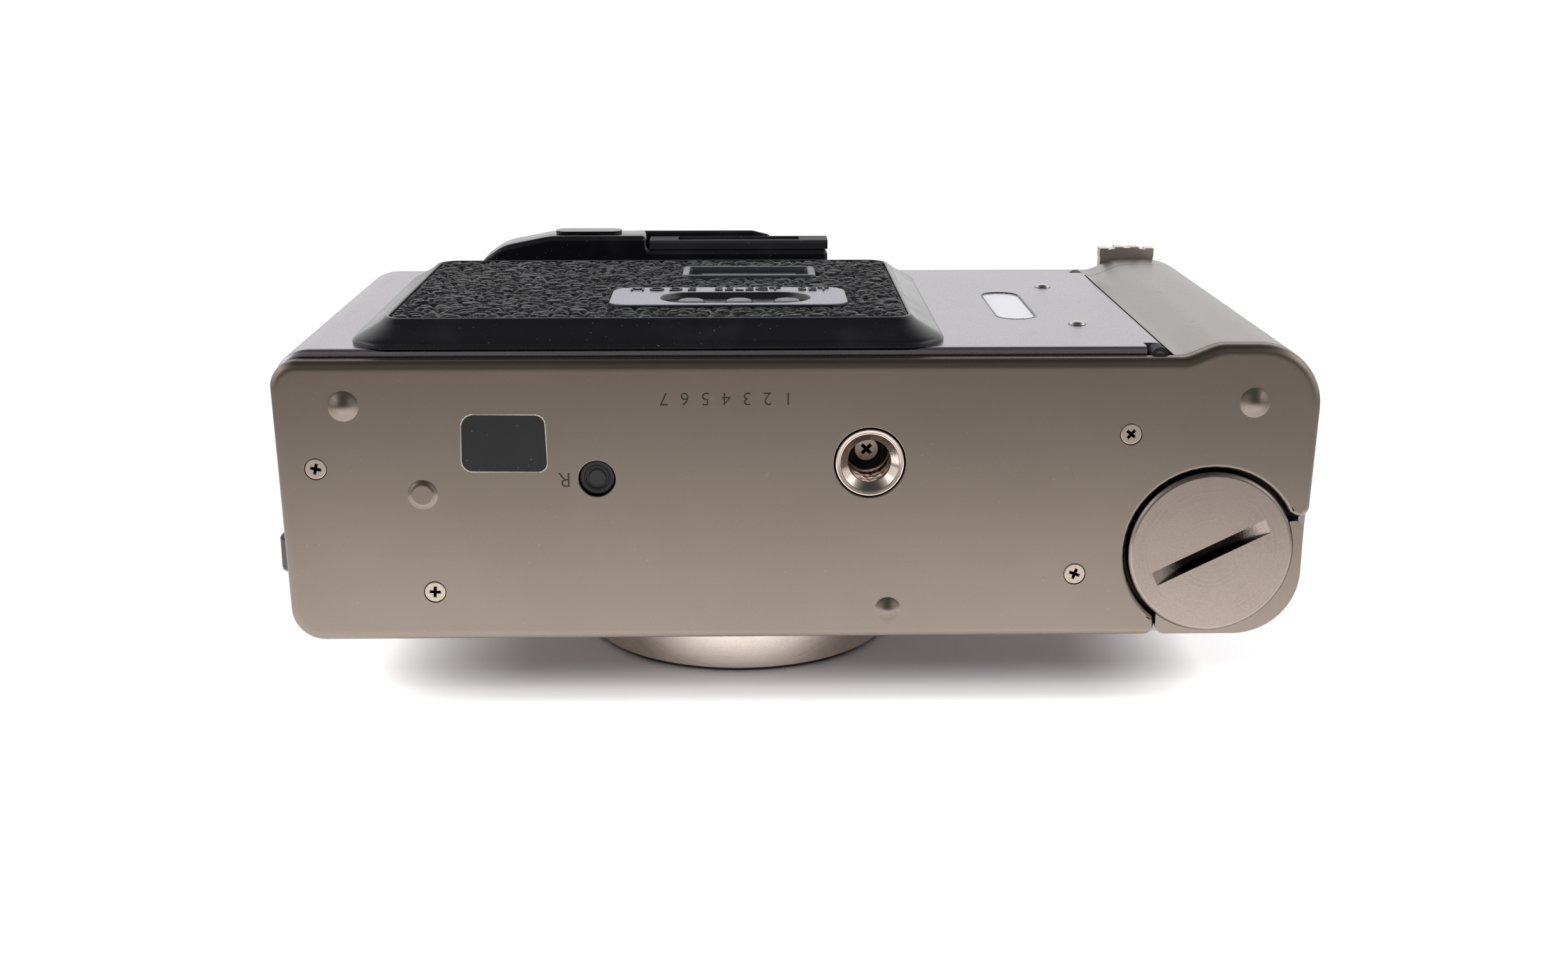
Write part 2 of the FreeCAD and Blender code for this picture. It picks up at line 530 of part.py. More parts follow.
def finder_block():
    """The black block across the back of the top cover, with the seat of the eyepiece."""
    piece = Piece("finder_block")
    base = "deck + seam"
    sketch = piece.sketch("XY", z=base)
    loop(sketch, [("block_left", "block_front"), ("block_left", "block_foot"),
                  ("block_slope", "block_back", "block_bend"), ("-block_right + nose", "block_back"),
                  ("-block_right", "nose_back"), ("-block_right", "block_front")])
    piece.pad(sketch, "roof - seam - (%s)" % base)
    piece.edges("Fillet",
                lambda edge: at_height("roof - seam")(edge) and edge.BoundBox.YMax > size("block_foot"),
                "block_fillet")
    block(piece, "XY", base, ("-block_right - over", "eye_left + seam", "eye_seat", "block_back + over"),
          "eye_top + seam - (%s)" % base, cut=True)
    block(piece, "XZ", "block_front - over", EYE_OPENING, "eye_seat - block_front + over * 2", cut=True)
    reach = "(slider_slot + slider_travel + key_gap)"
    block(piece, "XZ", "block_back - slider_stem", (
        "slider_x - %s" % reach, "slider_x + %s" % reach, "slider_z - slider_rise / 2 - key_gap",
        "slider_z + slider_rise / 2 + key_gap"), "slider_stem + over", cut=True)
    return piece


def eyepiece_frame():
    piece = Piece("eyepiece_frame")
    block(piece, "XZ", "eye_seat", ("-block_right", "eye_left", "eye_base", "eye_top"), "eye_back - eye_seat")
    block(piece, "XZ", "eye_seat - over", EYE_OPENING, "eye_back - eye_seat + over * 2", cut=True)
    piece.edges("Fillet", lambda edge: at_depth("eye_back")(edge)
                and (at_height("eye_base")(edge) or at_height("eye_top")(edge)), "eye_bar / 2")
    return piece


def eyepiece_glass():
    piece = Piece("eyepiece_glass")
    block(piece, "XZ", "eye_seat - eye_glass", (
        "-eye_open_right + glazing_gap", "eye_open_left - glazing_gap",
        "eye_base + eye_bar + glazing_gap", "eye_top - eye_bar - glazing_gap"), "eye_glass")
    return piece


def dioptre_slider():
    piece = Piece("dioptre_slider")
    block(piece, "XZ", "block_back + key_gap", (
        "slider_x - slider_half", "slider_x + slider_half", "slider_z - slider_rise",
        "slider_z + slider_rise"),
          "slider_out - key_gap", radius="slider_rise * 0.9")
    block(piece, "XZ", "block_back - slider_stem + key_gap", (
        "slider_x - slider_slot", "slider_x + slider_slot", "slider_z - slider_rise / 2",
        "slider_z + slider_rise / 2"),
          "slider_stem")
    return piece


RIVET_HOLES = [("-rivet_x", "rivet_low", "rivet_shank + hole_gap"),
               ("-rivet_x", "rivet_high", "rivet_shank + hole_gap")]


def back_door():
    """The door: a plate rolled round its pin at one end and wrapped round the corner at the other."""
    piece = Piece("back_door")
    base = "%s + door_base_gap" % FIRST_COVER_Z
    tall = "door_top - (%s)" % base
    wrap = "(door_back - door_wrap)"
    sketch = piece.sketch("XY", z=base)
    loop(sketch, [("-hinge_x", "door_back"), ("-hinge_x", "door_back - door_wall"),
                  ("body_half - %s" % wrap, "door_back - door_wall"),
                  ("body_half - door_wall", "door_wrap", "-(%s - door_wall)" % wrap),
                  ("body_half", "door_wrap"),
                  ("body_half - %s" % wrap, "door_back", wrap)])
    piece.pad(sketch, tall)
    rods(piece, "XY", base, [("-hinge_x", "hinge_y", "knuckle_round")], tall)
    piece.edges("Fillet",
                lambda edge: near(edge.BoundBox.YMax, size("door_back")) and near(edge.BoundBox.ZLength, 0)
                and edge.BoundBox.XLength > size("body_half"), "door_edge")
    rods(piece, "XY", "0", [("-hinge_x", "hinge_y", "hinge_bore")], "roof", cut=True)
    notch = ("-hinge_x - knuckle_round - over", "-hinge_x + notch_reach", "door_wrap", "door_back + over")
    block(piece, "XY", "0", notch, "%s + knuckle_end + knuckle_gap" % FIRST_COVER_Z, cut=True)
    block(piece, "XY", "door_top - knuckle_end - knuckle_gap", notch, "knuckle_end + over", cut=True)
    behind, depth = "door_back - door_wall - over", "door_wall + over * 2"
    block(piece, "XZ", behind,
          ("-window_x - window_half", "-window_x + window_half", "window_low", "window_high"),
          depth, cut=True, radius="window_half * 0.9")
    rods(piece, "XZ", behind, RIVET_HOLES, depth, cut=True)
    return piece


def hinge_pin():
    piece = Piece("hinge_pin")
    rods(piece, "XY", FIRST_COVER_Z + " + seam", [("-hinge_x", "hinge_y", "pin_round")],
         "door_top - %s - 2 * seam" % FIRST_COVER_Z)
    return piece


def film_window():
    piece = Piece("film_window")
    block(piece, "XZ", "door_back - door_wall", (
        "-window_x - window_half + window_gap", "-window_x + window_half - window_gap",
        "window_low + window_gap", "window_high - window_gap"), "door_wall - window_sunk",
          radius="window_half * 0.9 - window_gap")
    block(piece, "XZ", "door_back - door_wall - leaf_thick * 2", (
        "-window_x - window_half - window_flange", "-window_x + window_half + window_flange",
        "window_low - window_flange", "window_high + window_flange"), "leaf_thick * 2",
          radius="window_half * 0.9")
    return piece


def door_rivets():
    piece = Piece("door_rivets")
    for z in ("rivet_low", "rivet_high"):
        sketch = piece.sketch("YZ", x="-rivet_x", y="door_back", z=z)
        end = "-door_wall - leaf_thick"
        loop(sketch, [("rivet_rise", "0"), ("rivet_rise * 0.8", "rivet_round * 0.5"), ("0", "rivet_round"),
                      ("0", "rivet_shank"), (end, "rivet_shank"), (end, "0")])
        piece.turn(sketch, "H_Axis")
    return piece


PRESS_FRONT = "chassis_back + gate_plate_thick + rail_rise * 2 + press_gap"


def pressure_plate():
    piece = Piece("pressure_plate")
    block(piece, "XZ", PRESS_FRONT, (
        "lens_x - press_half", "lens_x + press_half", "lens_z - press_rise", "lens_z + press_rise"),
          "press_thick", radius="frame_round_top")
    return piece


def door_springs():
    """Two bowed leaves behind the pressure plate, and the bent leaf that holds the cassette down,
    riveted to the inside of the door and cut away round the film window."""
    piece = Piece("door_springs")
    low = PRESS_FRONT + " + press_thick"
    high = "door_back - door_wall - hole_gap / 2"
    bow = sphere("leaf_span", "%s - leaf_thick - (%s)" % (high, low))
    for shift in ("-press_rise / 2", "press_rise / 2"):
        sketch = piece.sketch("XY", x="lens_x", z="lens_z + %s - leaf_width / 2" % shift)
        loop(sketch, [("leaf_span", low + " + leaf_thick"), ("-leaf_span", low + " + leaf_thick", bow),
                      ("-leaf_span", low), ("leaf_span", low, "-(%s)" % bow)])
        piece.pad(sketch, "leaf_width")
    inside = "door_back - door_wall"
    lifted = "cassette_round + cassette_y + press_gap + leaf_thick"
    sketch = piece.sketch("XY", z="rivet_low - leaf_width / 2")
    loop(sketch, [("-rivet_x - rivet_round", inside), ("-rivet_x - rivet_round", inside + " - leaf_thick"),
                  ("-rivet_x + rivet_round * 2", inside + " - leaf_thick"),
                  ("-window_x + window_half * 3", lifted),
                  ("-window_x + window_half * 3", lifted + " + leaf_thick"),
                  ("-rivet_x + rivet_round * 2", inside)])
    piece.pad(sketch, "rivet_high - rivet_low + leaf_width")
    block(piece, "XZ", "cassette_round", (
        "-rivet_x + rivet_round * 2", "-window_x + window_half * 3 + over",
        "window_low - window_flange - seam",
        "window_high + window_flange + seam"), "door_back", cut=True)
    rods(piece, "XZ", "cassette_round", RIVET_HOLES, "door_back", cut=True)
    return piece


def frame_box(inset):
    """The date back's outline on the door, drawn in by an inset."""
    return ("-frame_right + (%s)" % inset, "frame_left - (%s)" % inset,
            "frame_low + (%s)" % inset, "frame_high - (%s)" % inset)


BED = "door_back + frame_rise - leather_sunk"


def date_frame():
    """The raised black frame of the date back: sloping glossy sides round a sunk leather bed."""
    piece = Piece("date_frame")
    foot = piece.sketch("XZ", y="door_back")
    rounded(foot, *frame_box("0"), "frame_round")
    head = piece.sketch("XZ", y="door_back + frame_rise")
    rounded(head, *frame_box("frame_slope - lip"), "frame_round_top")
    doc.recompute()
    loft = piece.feature("AdditiveLoft", foot)
    loft.Sections = [head]
    loft.Ruled = True
    block(piece, "XZ", BED, frame_box("frame_slope"), "leather_sunk + over", cut=True,
          radius="frame_round_top - lip")
    wells = [(key_x(number), "key_z", "key_round + key_gap * 3") for number in range(3)]
    rods(piece, "XZ", BED + " - key_length - key_travel", wells, "key_length + key_travel + over", cut=True)
    return piece


def key_x(number):
    return "key_first + %d * key_pitch" % number


def leather_insert():
    piece = Piece("leather_insert")
    block(piece, "XZ", BED, frame_box("frame_slope + glazing_gap"), "leather_sunk + leather_proud",
          radius="frame_round_top - lip")
    under, depth = BED + " - over", "leather_sunk + over * 2"
    block(piece, "XZ", under, (
        "-display_right - glazing_gap", "display_left + glazing_gap",
        "display_low - glazing_gap", "display_high + glazing_gap"), depth, cut=True)
    block(piece, "XZ", under, (
        "-pad_right - glazing_gap", "pad_left + glazing_gap", "pad_low - glazing_gap",
        "pad_high + glazing_gap"),
          depth, cut=True, radius="pad_round")
    return piece


def display_bezel():
    piece = Piece("display_bezel")
    block(piece, "XZ", BED, ("-display_right", "display_left", "display_low", "display_high"),
          "leather_sunk + bezel_proud")
    piece.edges("Fillet", lambda edge: near(edge.BoundBox.YLength, size("leather_sunk + bezel_proud")),
                "bezel_wall / 2")
    piece.edges("Fillet", at_depth("door_back + frame_rise + bezel_proud"), "bezel_proud / 2")
    block(piece, "XZ", BED + " - over", (
        "-display_right + bezel_wall", "display_left - bezel_wall",
        "display_low + bezel_wall", "display_high - bezel_wall"), "frame_rise + over * 2", cut=True)
    return piece


def display_glass():
    piece = Piece("display_glass")
    block(piece, "XZ", BED, (
        "-display_right + bezel_wall + glazing_gap", "display_left - bezel_wall - glazing_gap",
        "display_low + bezel_wall + glazing_gap", "display_high - bezel_wall - glazing_gap"),
          "leather_sunk + bezel_proud - display_sunk")
    return piece


def button_pad():
    piece = Piece("button_pad")
    block(piece, "XZ", BED, ("-pad_right", "pad_left", "pad_low", "pad_high"), "leather_sunk + pad_proud",
          radius="pad_round")
    piece.edges("Fillet", at_depth("door_back + frame_rise + pad_proud"), "pad_proud * 0.8")
    block(piece, "XZ", "door_back + frame_rise + pad_proud - oval_sunk", (
        "-oval_right", "oval_left", "oval_low", "oval_high"), "oval_sunk + over", cut=True,
          radius="oval_round")
    holes = [(key_x(number), "key_z", "key_round + key_gap") for number in range(3)]
    rods(piece, "XZ", BED + " - over", holes, "frame_rise", cut=True)
    return piece


def data_key(label, number):
    piece = Piece(label)
    top = "door_back + frame_rise + pad_proud - oval_sunk + key_rise"
    sketch = piece.sketch("YZ", x=key_x(number), z="key_z")
    loop(sketch, [("%s - key_length" % BED, "0"), (top, "0"), ("%s - key_rise / 2" % top, "key_round"),
                  ("%s - key_length" % BED, "key_round")])
    piece.turn(sketch, "H_Axis")
    return piece


def door_release():
    """The sliding catch: a ridged knob outside, its stem in the slot and a bar inside the wall."""
    piece = Piece("door_release")
    middle = "(release_low + release_high) / 2"
    sketch = piece.sketch("XZ", y="-release_y - release_width / 2")
    loop(sketch, [("body_half + key_gap", "release_low"),
                  ("body_half + release_out", "release_low + release_out"),
                  ("body_half + release_out", "release_high - release_out"),
                  ("body_half + key_gap", "release_high")])
    piece.pad(sketch, "release_width")
    piece.edges("Fillet", lambda edge: edge.BoundBox.XMax > size("body_half + release_out") - 1e-3,
                "release_out * 0.35")
    inside = "(body_half - left_taper - cover_wall - key_gap * 2)"
    block(piece, "YZ", inside, (
        "-release_y - release_stem / 2", "-release_y + release_stem / 2",
        middle + " - release_stem / 2", middle + " + release_stem / 2"),
          "body_half + key_gap * 2 - " + inside)
    block(piece, "YZ", inside + " - release_bar", (
        "-release_y - release_width / 2", "-release_y + release_width / 2",
        middle + " - release_stem", middle + " + release_stem"), "release_bar")
    return piece


def strap_lugs():
    """A bar on two feet at each side, for a strap."""
    piece = Piece("strap_lugs")
    low, high = "(lug_y - lug_length / 2)", "(lug_y + lug_length / 2)"
    for side in ("", "-"):
        root = side + "(body_half - cover_wall * 1.2)"
        bar = side + "(body_half + lug_out - lug_bar)"
        face = side + "(body_half + lug_out)"
        turn = side + "lug_bar"
        sketch = piece.sketch("XY", z="lug_z - lug_rise / 2")
        loop(sketch, [(root, low), (bar, low), (face, low + " + lug_bar", turn), (face, high + " - lug_bar"),
                      (bar, high, turn), (root, high), (root, high + " - lug_bar"),
                      (bar, high + " - lug_bar"),
                      (bar, low + " + lug_bar"), (root, low + " + lug_bar")])
        piece.pad(sketch, "lug_rise")
    return piece


# The frame is three mouldings side by side, which meet at these places along X.
BATTERY_SIDE = "-(cassette_x + cassette_round + chamber_skin)"
TUNNEL_SIDE = "-(gate_width / 2 + gate_margin + run_gap - lens_x)"
CATCH_MIDDLE = "(release_low + release_high) / 2"


def moulding(label, left, right):
    """A part of the frame between two places: the body's outline inside the shell, open behind
    for the door and lower in front for the top cover's skirt."""
    piece = Piece(label)
    body_prism(piece, CHASSIS_INSET, CHASSIS_BASE, "chassis_top")
    front, back = "-body_front - past", "grip_back + past"
    if left:
        block(piece, "XY", "0", ("-body_half - past", left, front, back), "roof", cut=True)
    if right:
        block(piece, "XY", "0", (right, "body_half + past", front, back), "roof", cut=True)
    if left or size(right) > size("-hinge_x + notch_reach"):
        block(piece, "XY", "0", ("-hinge_x + notch_reach", "body_half + past", "chassis_back", back), "roof",
              cut=True)
    block(piece, "XY", "skirt - seam", ("-body_half - past", "body_half + past", front, "-skirt_back + seam"),
          "deck", cut=True)
    return piece


def film_well(piece, x, y, radius):
    """A round chamber that is open behind, where the door closes it."""
    rods(piece, "XY", "well_floor", [(x, y, radius)], "well_top - well_floor", cut=True)
    block(piece, "XY", "well_floor",
          ("%s - %s" % (x, radius), "%s + %s" % (x, radius), y, "chassis_back + past"),
          "well_top - well_floor", cut=True)


def screw_holes(piece, screws):
    rods(piece, "XY", "0", [(x, y, "screw_shank + hole_gap") for x, y in screws], "screw_length + hole_gap",
         cut=True)


def board_posts(piece, x):
    """Two short posts under one end of the circuit board."""
    rods(piece, "XY", "chassis_top - over", [(x, "board_back - post_inset", "post_round"),
                                             (x, "-board_front + post_inset", "post_round")],
         "board_base - chassis_top + over")


def chassis():
    """The moulding round the light tunnel and the take-up chamber, with the lens's recess in front."""
    piece = moulding("chassis", TUNNEL_SIDE, "")
    film_well(piece, "spool_x", "spool_y", "spool_well")
    film_well(piece, "sprocket_x", "sprocket_y", "sprocket_well")
    block(piece, "YZ", "body_half - left_taper - cover_wall - release_bar - key_gap * 4", (
        "-release_y - release_width / 2 - key_gap", "-release_y + release_width / 2 + key_gap",
        CATCH_MIDDLE + " - release_stem - release_travel - key_gap",
        CATCH_MIDDLE + " + release_stem + key_gap"),
          "past", cut=True)
    rods(piece, "XZ", "-body_front", [("lens_x", "lens_z", "recess_round")], "body_front - recess_back",
         cut=True)
    half_width, half_height = "gate_width / 2 + tunnel_gap", "gate_height / 2 + tunnel_gap"
    block(piece, "XZ", "-recess_back - over", (
        "lens_x - (%s)" % half_width, "lens_x + %s" % half_width,
        "lens_z - (%s)" % half_height, "lens_z + %s" % half_height), "recess_back + chassis_back + over * 2",
          cut=True)
    for radius, depth in (("socket_round + hole_gap", "socket_length"),
                          ("deep_screw_shank + hole_gap", "deep_screw_end + hole_gap")):
        rods(piece, "XY", "0", [("-socket_x", "socket_y", radius)], depth, cut=True)
    for radius, depth in (("rewind_hole", "%s + rewind_travel + seam" % CHASSIS_BASE),
                          ("rewind_stem + run_gap", "rewind_top + rewind_travel + seam")):
        rods(piece, "XY", "0", [("rewind_x", "rewind_y", radius)], depth, cut=True)
    screw_holes(piece, SCREWS[:2])
    shafts = [("spool_x", "spool_y", "journal + run_gap"), ("sprocket_x", "sprocket_y", "journal + run_gap")]
    rods(piece, "XY", "well_top - over", shafts, "journal_length + over", cut=True)
    rods(piece, "XY", "well_floor - journal_length", shafts[1:], "journal_length + over", cut=True)
    board_posts(piece, "board_left - post_inset")
    return piece


def cassette_chamber():
    """The moulding that holds the film cassette."""
    piece = moulding("cassette_chamber", BATTERY_SIDE, TUNNEL_SIDE)
    film_well(piece, "-cassette_x", "cassette_y", "cassette_round")
    screw_holes(piece, SCREWS[2:])
    rods(piece, "XY", "well_floor - journal_length", [("-cassette_x", "cassette_y", "journal + run_gap")],
         "journal_length + over", cut=True)
    board_posts(piece, "-board_right + post_inset")
    return piece


def battery_housing():
    """The moulding in the grip: the battery's tube, the cap's thread, and the door's fixed knuckles."""
    piece = moulding("battery_housing", "", BATTERY_SIDE)
    block(piece, "XY", "0",
          ("-hinge_x - knuckle_round - seam * 4", "body_half", "hinge_y - knuckle_round - seam",
                             "grip_back + past"), "roof", cut=True)
    block(piece, "XY", "0",
          ("-body_half - past", "-corner_front", "-body_front - past", "-corner_side + seam"),
          "plate_rise + seam * 4", cut=True)
    rods(piece, "XY", "0", [("-battery_x", "-battery_y", "battery_round + battery_gap")],
         "battery_base + battery_length + battery_nub_rise", cut=True)
    rods(piece, "XY", "0", [("-battery_x", "-battery_y", "cap_thread + thread_gap")], "cap_thread_end + seam",
         cut=True)
    near_pin = "hinge_y - knuckle_round - seam"
    for base, top in ((FIRST_COVER_Z + " + seam", FIRST_COVER_Z + " + knuckle_end"),
                      ("door_top - knuckle_end", "door_top")):
        tall = "%s - (%s)" % (top, base)
        rods(piece, "XY", base, [("-hinge_x", "hinge_y", "knuckle_round")], tall)
        block(piece, "XY", base,
              ("-hinge_x - knuckle_round", "-hinge_x + knuckle_round", near_pin + " - seam * 2",
                                  "hinge_y"), tall)
    block(piece, "XY", "chassis_top - over", (
        "-hinge_x - knuckle_round", "-hinge_x + knuckle_round", "chassis_back - over * 2", near_pin),
          "door_top - chassis_top + over")
    rods(piece, "XY", "0", [("-hinge_x", "hinge_y", "pin_round + hole_gap / 2")], "roof", cut=True)
    return piece


def gate_plate():
    """The metal film gate with two pairs of rails."""
    piece = Piece("gate_plate")
    ends = ("lens_x - gate_width / 2 - gate_margin", "lens_x + gate_width / 2 + gate_rim")
    block(piece, "XZ", "chassis_back", ends + ("lens_z - gate_plate_rise", "lens_z + gate_plate_rise"),
          "gate_plate_thick")
    inner = "(gate_height / 2 + rail_width)"
    for middle, rise in (("-" + inner, "rail_rise"), (inner, "rail_rise"), ("-outer_rail", "rail_rise * 2"),
                         ("outer_rail", "rail_rise * 2")):
        block(piece, "XZ", "chassis_back + gate_plate_thick - rail_rise", ends + (
            "lens_z + %s - rail_width / 2" % middle, "lens_z + %s + rail_width / 2" % middle),
              "%s + rail_rise" % rise)
    block(piece, "XZ", "chassis_back - over", (
        "lens_x - gate_width / 2", "lens_x + gate_width / 2", "lens_z - gate_height / 2",
        "lens_z + gate_height / 2"),
          "gate_plate_thick + over * 2", cut=True)
    return piece


def light_seals():
    """Foam strips that close the film space above and below the door."""
    piece = Piece("light_seals")
    ends = ("-cassette_x - cassette_round + over", "body_half - (door_back - door_wrap)")
    for low in ("well_floor - rail_width * 2", "well_top + rail_width"):
        block(piece, "XZ", "chassis_back", ends + (low, low + " + rail_width"),
              "door_back - door_wall - chassis_back - seal_gap")
    return piece


def take_up_spool():
    """A hollow spool that turns round its motor."""
    piece = Piece("take_up_spool")
    base, top = "well_floor + run_gap * 4", "well_top - run_gap * 4"
    lid, rim = "spool_round - spool_bore", "spool_round + flange_rise"
    tip = "well_top + journal_length - run_gap * 4"
    turned(piece, "spool_x", "spool_y", "0", [
        ("0", tip), ("0", "%s - (%s)" % (top, lid)), ("spool_bore", "%s - (%s)" % (top, lid)),
        ("spool_bore", base + " + collar_rise"), ("motor_round + run_gap", base + " + collar_rise"),
        ("motor_round + run_gap", base), (rim, base), (rim, base + " + flange_rise"),
        ("spool_round", base + " + flange_rise"), ("spool_round", top + " - flange_rise"),
        (rim, top + " - flange_rise"), (rim, top), ("journal", top), ("journal", tip)])
    return piece


def winding_motor():
    piece = Piece("winding_motor")
    rods(piece, "XY", "well_floor", [("spool_x", "spool_y", "motor_round")], "motor_top - well_floor")
    return piece


def film_sprocket():
    """The toothed shaft that counts the film's holes."""
    piece = Piece("film_sprocket")
    base, top = "well_floor + run_gap * 4", "well_top - run_gap * 4"
    low, high = "(lens_z - film_half_track)", "(lens_z + film_half_track)"
    rim = "sprocket_round"
    turned(piece, "sprocket_x", "sprocket_y", "0", [
        ("0", "well_floor - journal_length + run_gap * 4"),
        ("journal", "well_floor - journal_length + run_gap * 4"),
        ("journal", base), ("sprocket_hub", base), ("sprocket_hub", low + " - sprocket_wheel"),
        (rim, low + " - sprocket_wheel"), (rim, low + " + sprocket_wheel"),
        ("sprocket_hub", low + " + sprocket_wheel"),
        ("sprocket_hub", high + " - sprocket_wheel"), (rim, high + " - sprocket_wheel"),
        (rim, high + " + sprocket_wheel"), ("sprocket_hub", high + " + sprocket_wheel"),
        ("sprocket_hub", top),
        ("journal", top), ("journal", "well_top + journal_length - run_gap * 4"),
        ("0", "well_top + journal_length - run_gap * 4")])
    for height in (low, high):
        sketch = piece.sketch("XY", x="sprocket_x", y="sprocket_y", z=height + " - tooth_width / 2")
        root, crest = "sprocket_round - tooth_rise", "sprocket_round + tooth_rise"
        loop(sketch, [("-tooth_width / 2", root), ("tooth_width / 2", root),
                      ("tooth_width / 4", crest), ("-tooth_width / 4", crest)])
        tooth = piece.pad(sketch, "tooth_width")
        doc.recompute()
        ring = piece.body.newObject("PartDesign::PolarPattern", "film_sprocket_teeth")
        ring.Originals = [tooth]
        ring.Axis = (sketch, ["N_Axis"])
        ring.Angle = 360
        ring.setExpression("Occurrences", bound("tooth_count"))
        piece.body.Tip = ring
        doc.recompute()
    return piece


def rewind_fork():
    """The driver that turns the cassette's core, with two prongs."""
    piece = Piece("rewind_fork")
    base = "well_floor + run_gap * 4"
    foot = "well_floor - journal_length + run_gap * 4"
    turned(piece, "-cassette_x", "cassette_y", "0", [
        ("0", foot), ("journal", foot), ("journal", base), ("journal * 3", base),
        ("journal * 3", base + " + fork_base"),
        ("journal * 1.6", base + " + fork_base * 1.4"), ("journal * 1.6", base + " + fork_height"),
        ("0", base + " + fork_height")])
    block(piece, "XY", base + " + fork_height - fork_slot", (
        "-cassette_x - journal * 2", "-cassette_x + journal * 2", "cassette_y - journal / 2",
        "cassette_y + journal / 2"), "fork_slot + over", cut=True)
    return piece


def battery():
    piece = Piece("battery")
    turned(piece, "-battery_x", "-battery_y", "battery_base", [
        ("0", "0"), ("battery_round - battery_edge", "0"), ("battery_round", "battery_edge"),
        ("battery_round", "battery_length - battery_edge"),
        ("battery_round - battery_edge", "battery_length"),
        ("battery_nub", "battery_length"),
        ("battery_nub", "battery_length + battery_nub_rise"), ("0", "battery_length + battery_nub_rise")])
    return piece


def cap_contact():
    """The disc with a spring ring that presses on the cell and doesn't turn with the cap."""
    piece = Piece("cap_contact")
    turned(piece, "-battery_x", "-battery_y", "0", [
        ("0", "cap_thread_end + hole_gap"), ("contact_round", "cap_thread_end + hole_gap"),
        ("contact_round", "cap_thread_end + contact_thick"), ("contact_round / 2", "battery_base - hole_gap"),
        ("0", "battery_base - hole_gap")])
    return piece


def battery_cap():
    """The coin-slotted cap. The slot's floor is curved, as a slitting wheel leaves it."""
    piece = Piece("battery_cap")
    turned(piece, "-battery_x", "-battery_y", "0", [
        ("0", "-cap_proud"), ("cap_round - cap_chamfer", "-cap_proud"),
        ("cap_round", "cap_chamfer - cap_proud"),
        ("cap_round", "cap_head"), ("cap_thread", "cap_head"), ("cap_thread", "cap_thread_end"),
        ("0", "cap_thread_end")])
    wheel = piece.sketch("YZ", x="-battery_x", y="-battery_y")
    wheel.AttachmentOffset = FreeCAD.Placement(wheel.AttachmentOffset.Base, FreeCAD.Rotation(V(0, 1, 0), 1))
    wheel.setExpression("AttachmentOffset.Rotation.Angle", bound("coin_turn"))
    reach = "coin_length / 2"
    loop(wheel, [("-" + reach, "-cap_proud - over"), (reach, "-cap_proud - over"), (reach, "-cap_proud"),
                 ("-" + reach, "-cap_proud",
                  "(%s * %s + coin_depth * coin_depth) / 2 / coin_depth" % (reach, reach))])
    piece.pocket(wheel, "coin_width").Midplane = True
    return piece


def rewind_button():
    piece = Piece("rewind_button")
    turned(piece, "rewind_x", "rewind_y", "0", [
        ("0", "rewind_sunk"), ("rewind_round", "rewind_sunk"), ("rewind_round", "plate_rise"),
        ("rewind_stem", "plate_rise"), ("rewind_stem", "rewind_top"), ("0", "rewind_top")])
    return piece


def lens_mount():
    """The bright fixed collar round the lens, flanged behind the front cover."""
    piece = Piece("lens_mount")
    inside = "-body_front + cover_wall + hole_gap"
    turned_along_lens(piece, [
        ("-body_front - mount_out", "mount_bore"), ("%s + flange_thick" % inside, "mount_bore"),
        ("%s + flange_thick" % inside, "recess_round - hole_gap"), (inside, "recess_round - hole_gap"),
        (inside, "mount_round"), ("-body_front - mount_out", "mount_round")])
    return piece


def mount_ring():
    """The thin black ring on the collar's rim."""
    piece = Piece("mount_ring")
    turned_along_lens(piece, [
        ("-body_front - mount_out - ring_out", "mount_bore"), ("-body_front - mount_out", "mount_bore"),
        ("-body_front - mount_out", "mount_round - ring_inset / 2"),
        ("-body_front - mount_out - ring_out", "mount_round - ring_inset * 2")])
    return piece


BARREL_TIP = "-body_front - mount_out - ring_out + barrel_sunk"
BLADE_FRONT = "(%s + bezel_sunk + bezel_thick + blade_gap)" % BARREL_TIP


def lens_barrel():
    piece = Piece("lens_barrel")
    turned_along_lens(piece, [
        (BARREL_TIP, "barrel_round - barrel_wall"),
        (BARREL_TIP + " + barrel_length", "barrel_round - barrel_wall"),
        (BARREL_TIP + " + barrel_length", "barrel_round"),
        (BARREL_TIP + " + barrel_wall / 2", "barrel_round"),
        (BARREL_TIP, "barrel_round - barrel_wall / 2")])
    return piece


def front_bezel():
    """The ring that closes the barrel, with the pins of the two cover blades behind it."""
    piece = Piece("front_bezel")
    face = BARREL_TIP + " + bezel_sunk"
    turned_along_lens(piece, [
        (face, "bezel_open"), (face + " + bezel_thick", "bezel_step"),
        (face + " + bezel_thick", "barrel_round - barrel_wall"), (face, "barrel_round - barrel_wall")])
    pins = [("lens_x - blade_arm", "lens_z", "blade_pin"), ("lens_x + blade_arm", "lens_z", "blade_pin")]
    rods(piece, "XZ", face + " + bezel_thick", pins, "blade_thick + blade_gap * 2")
    return piece


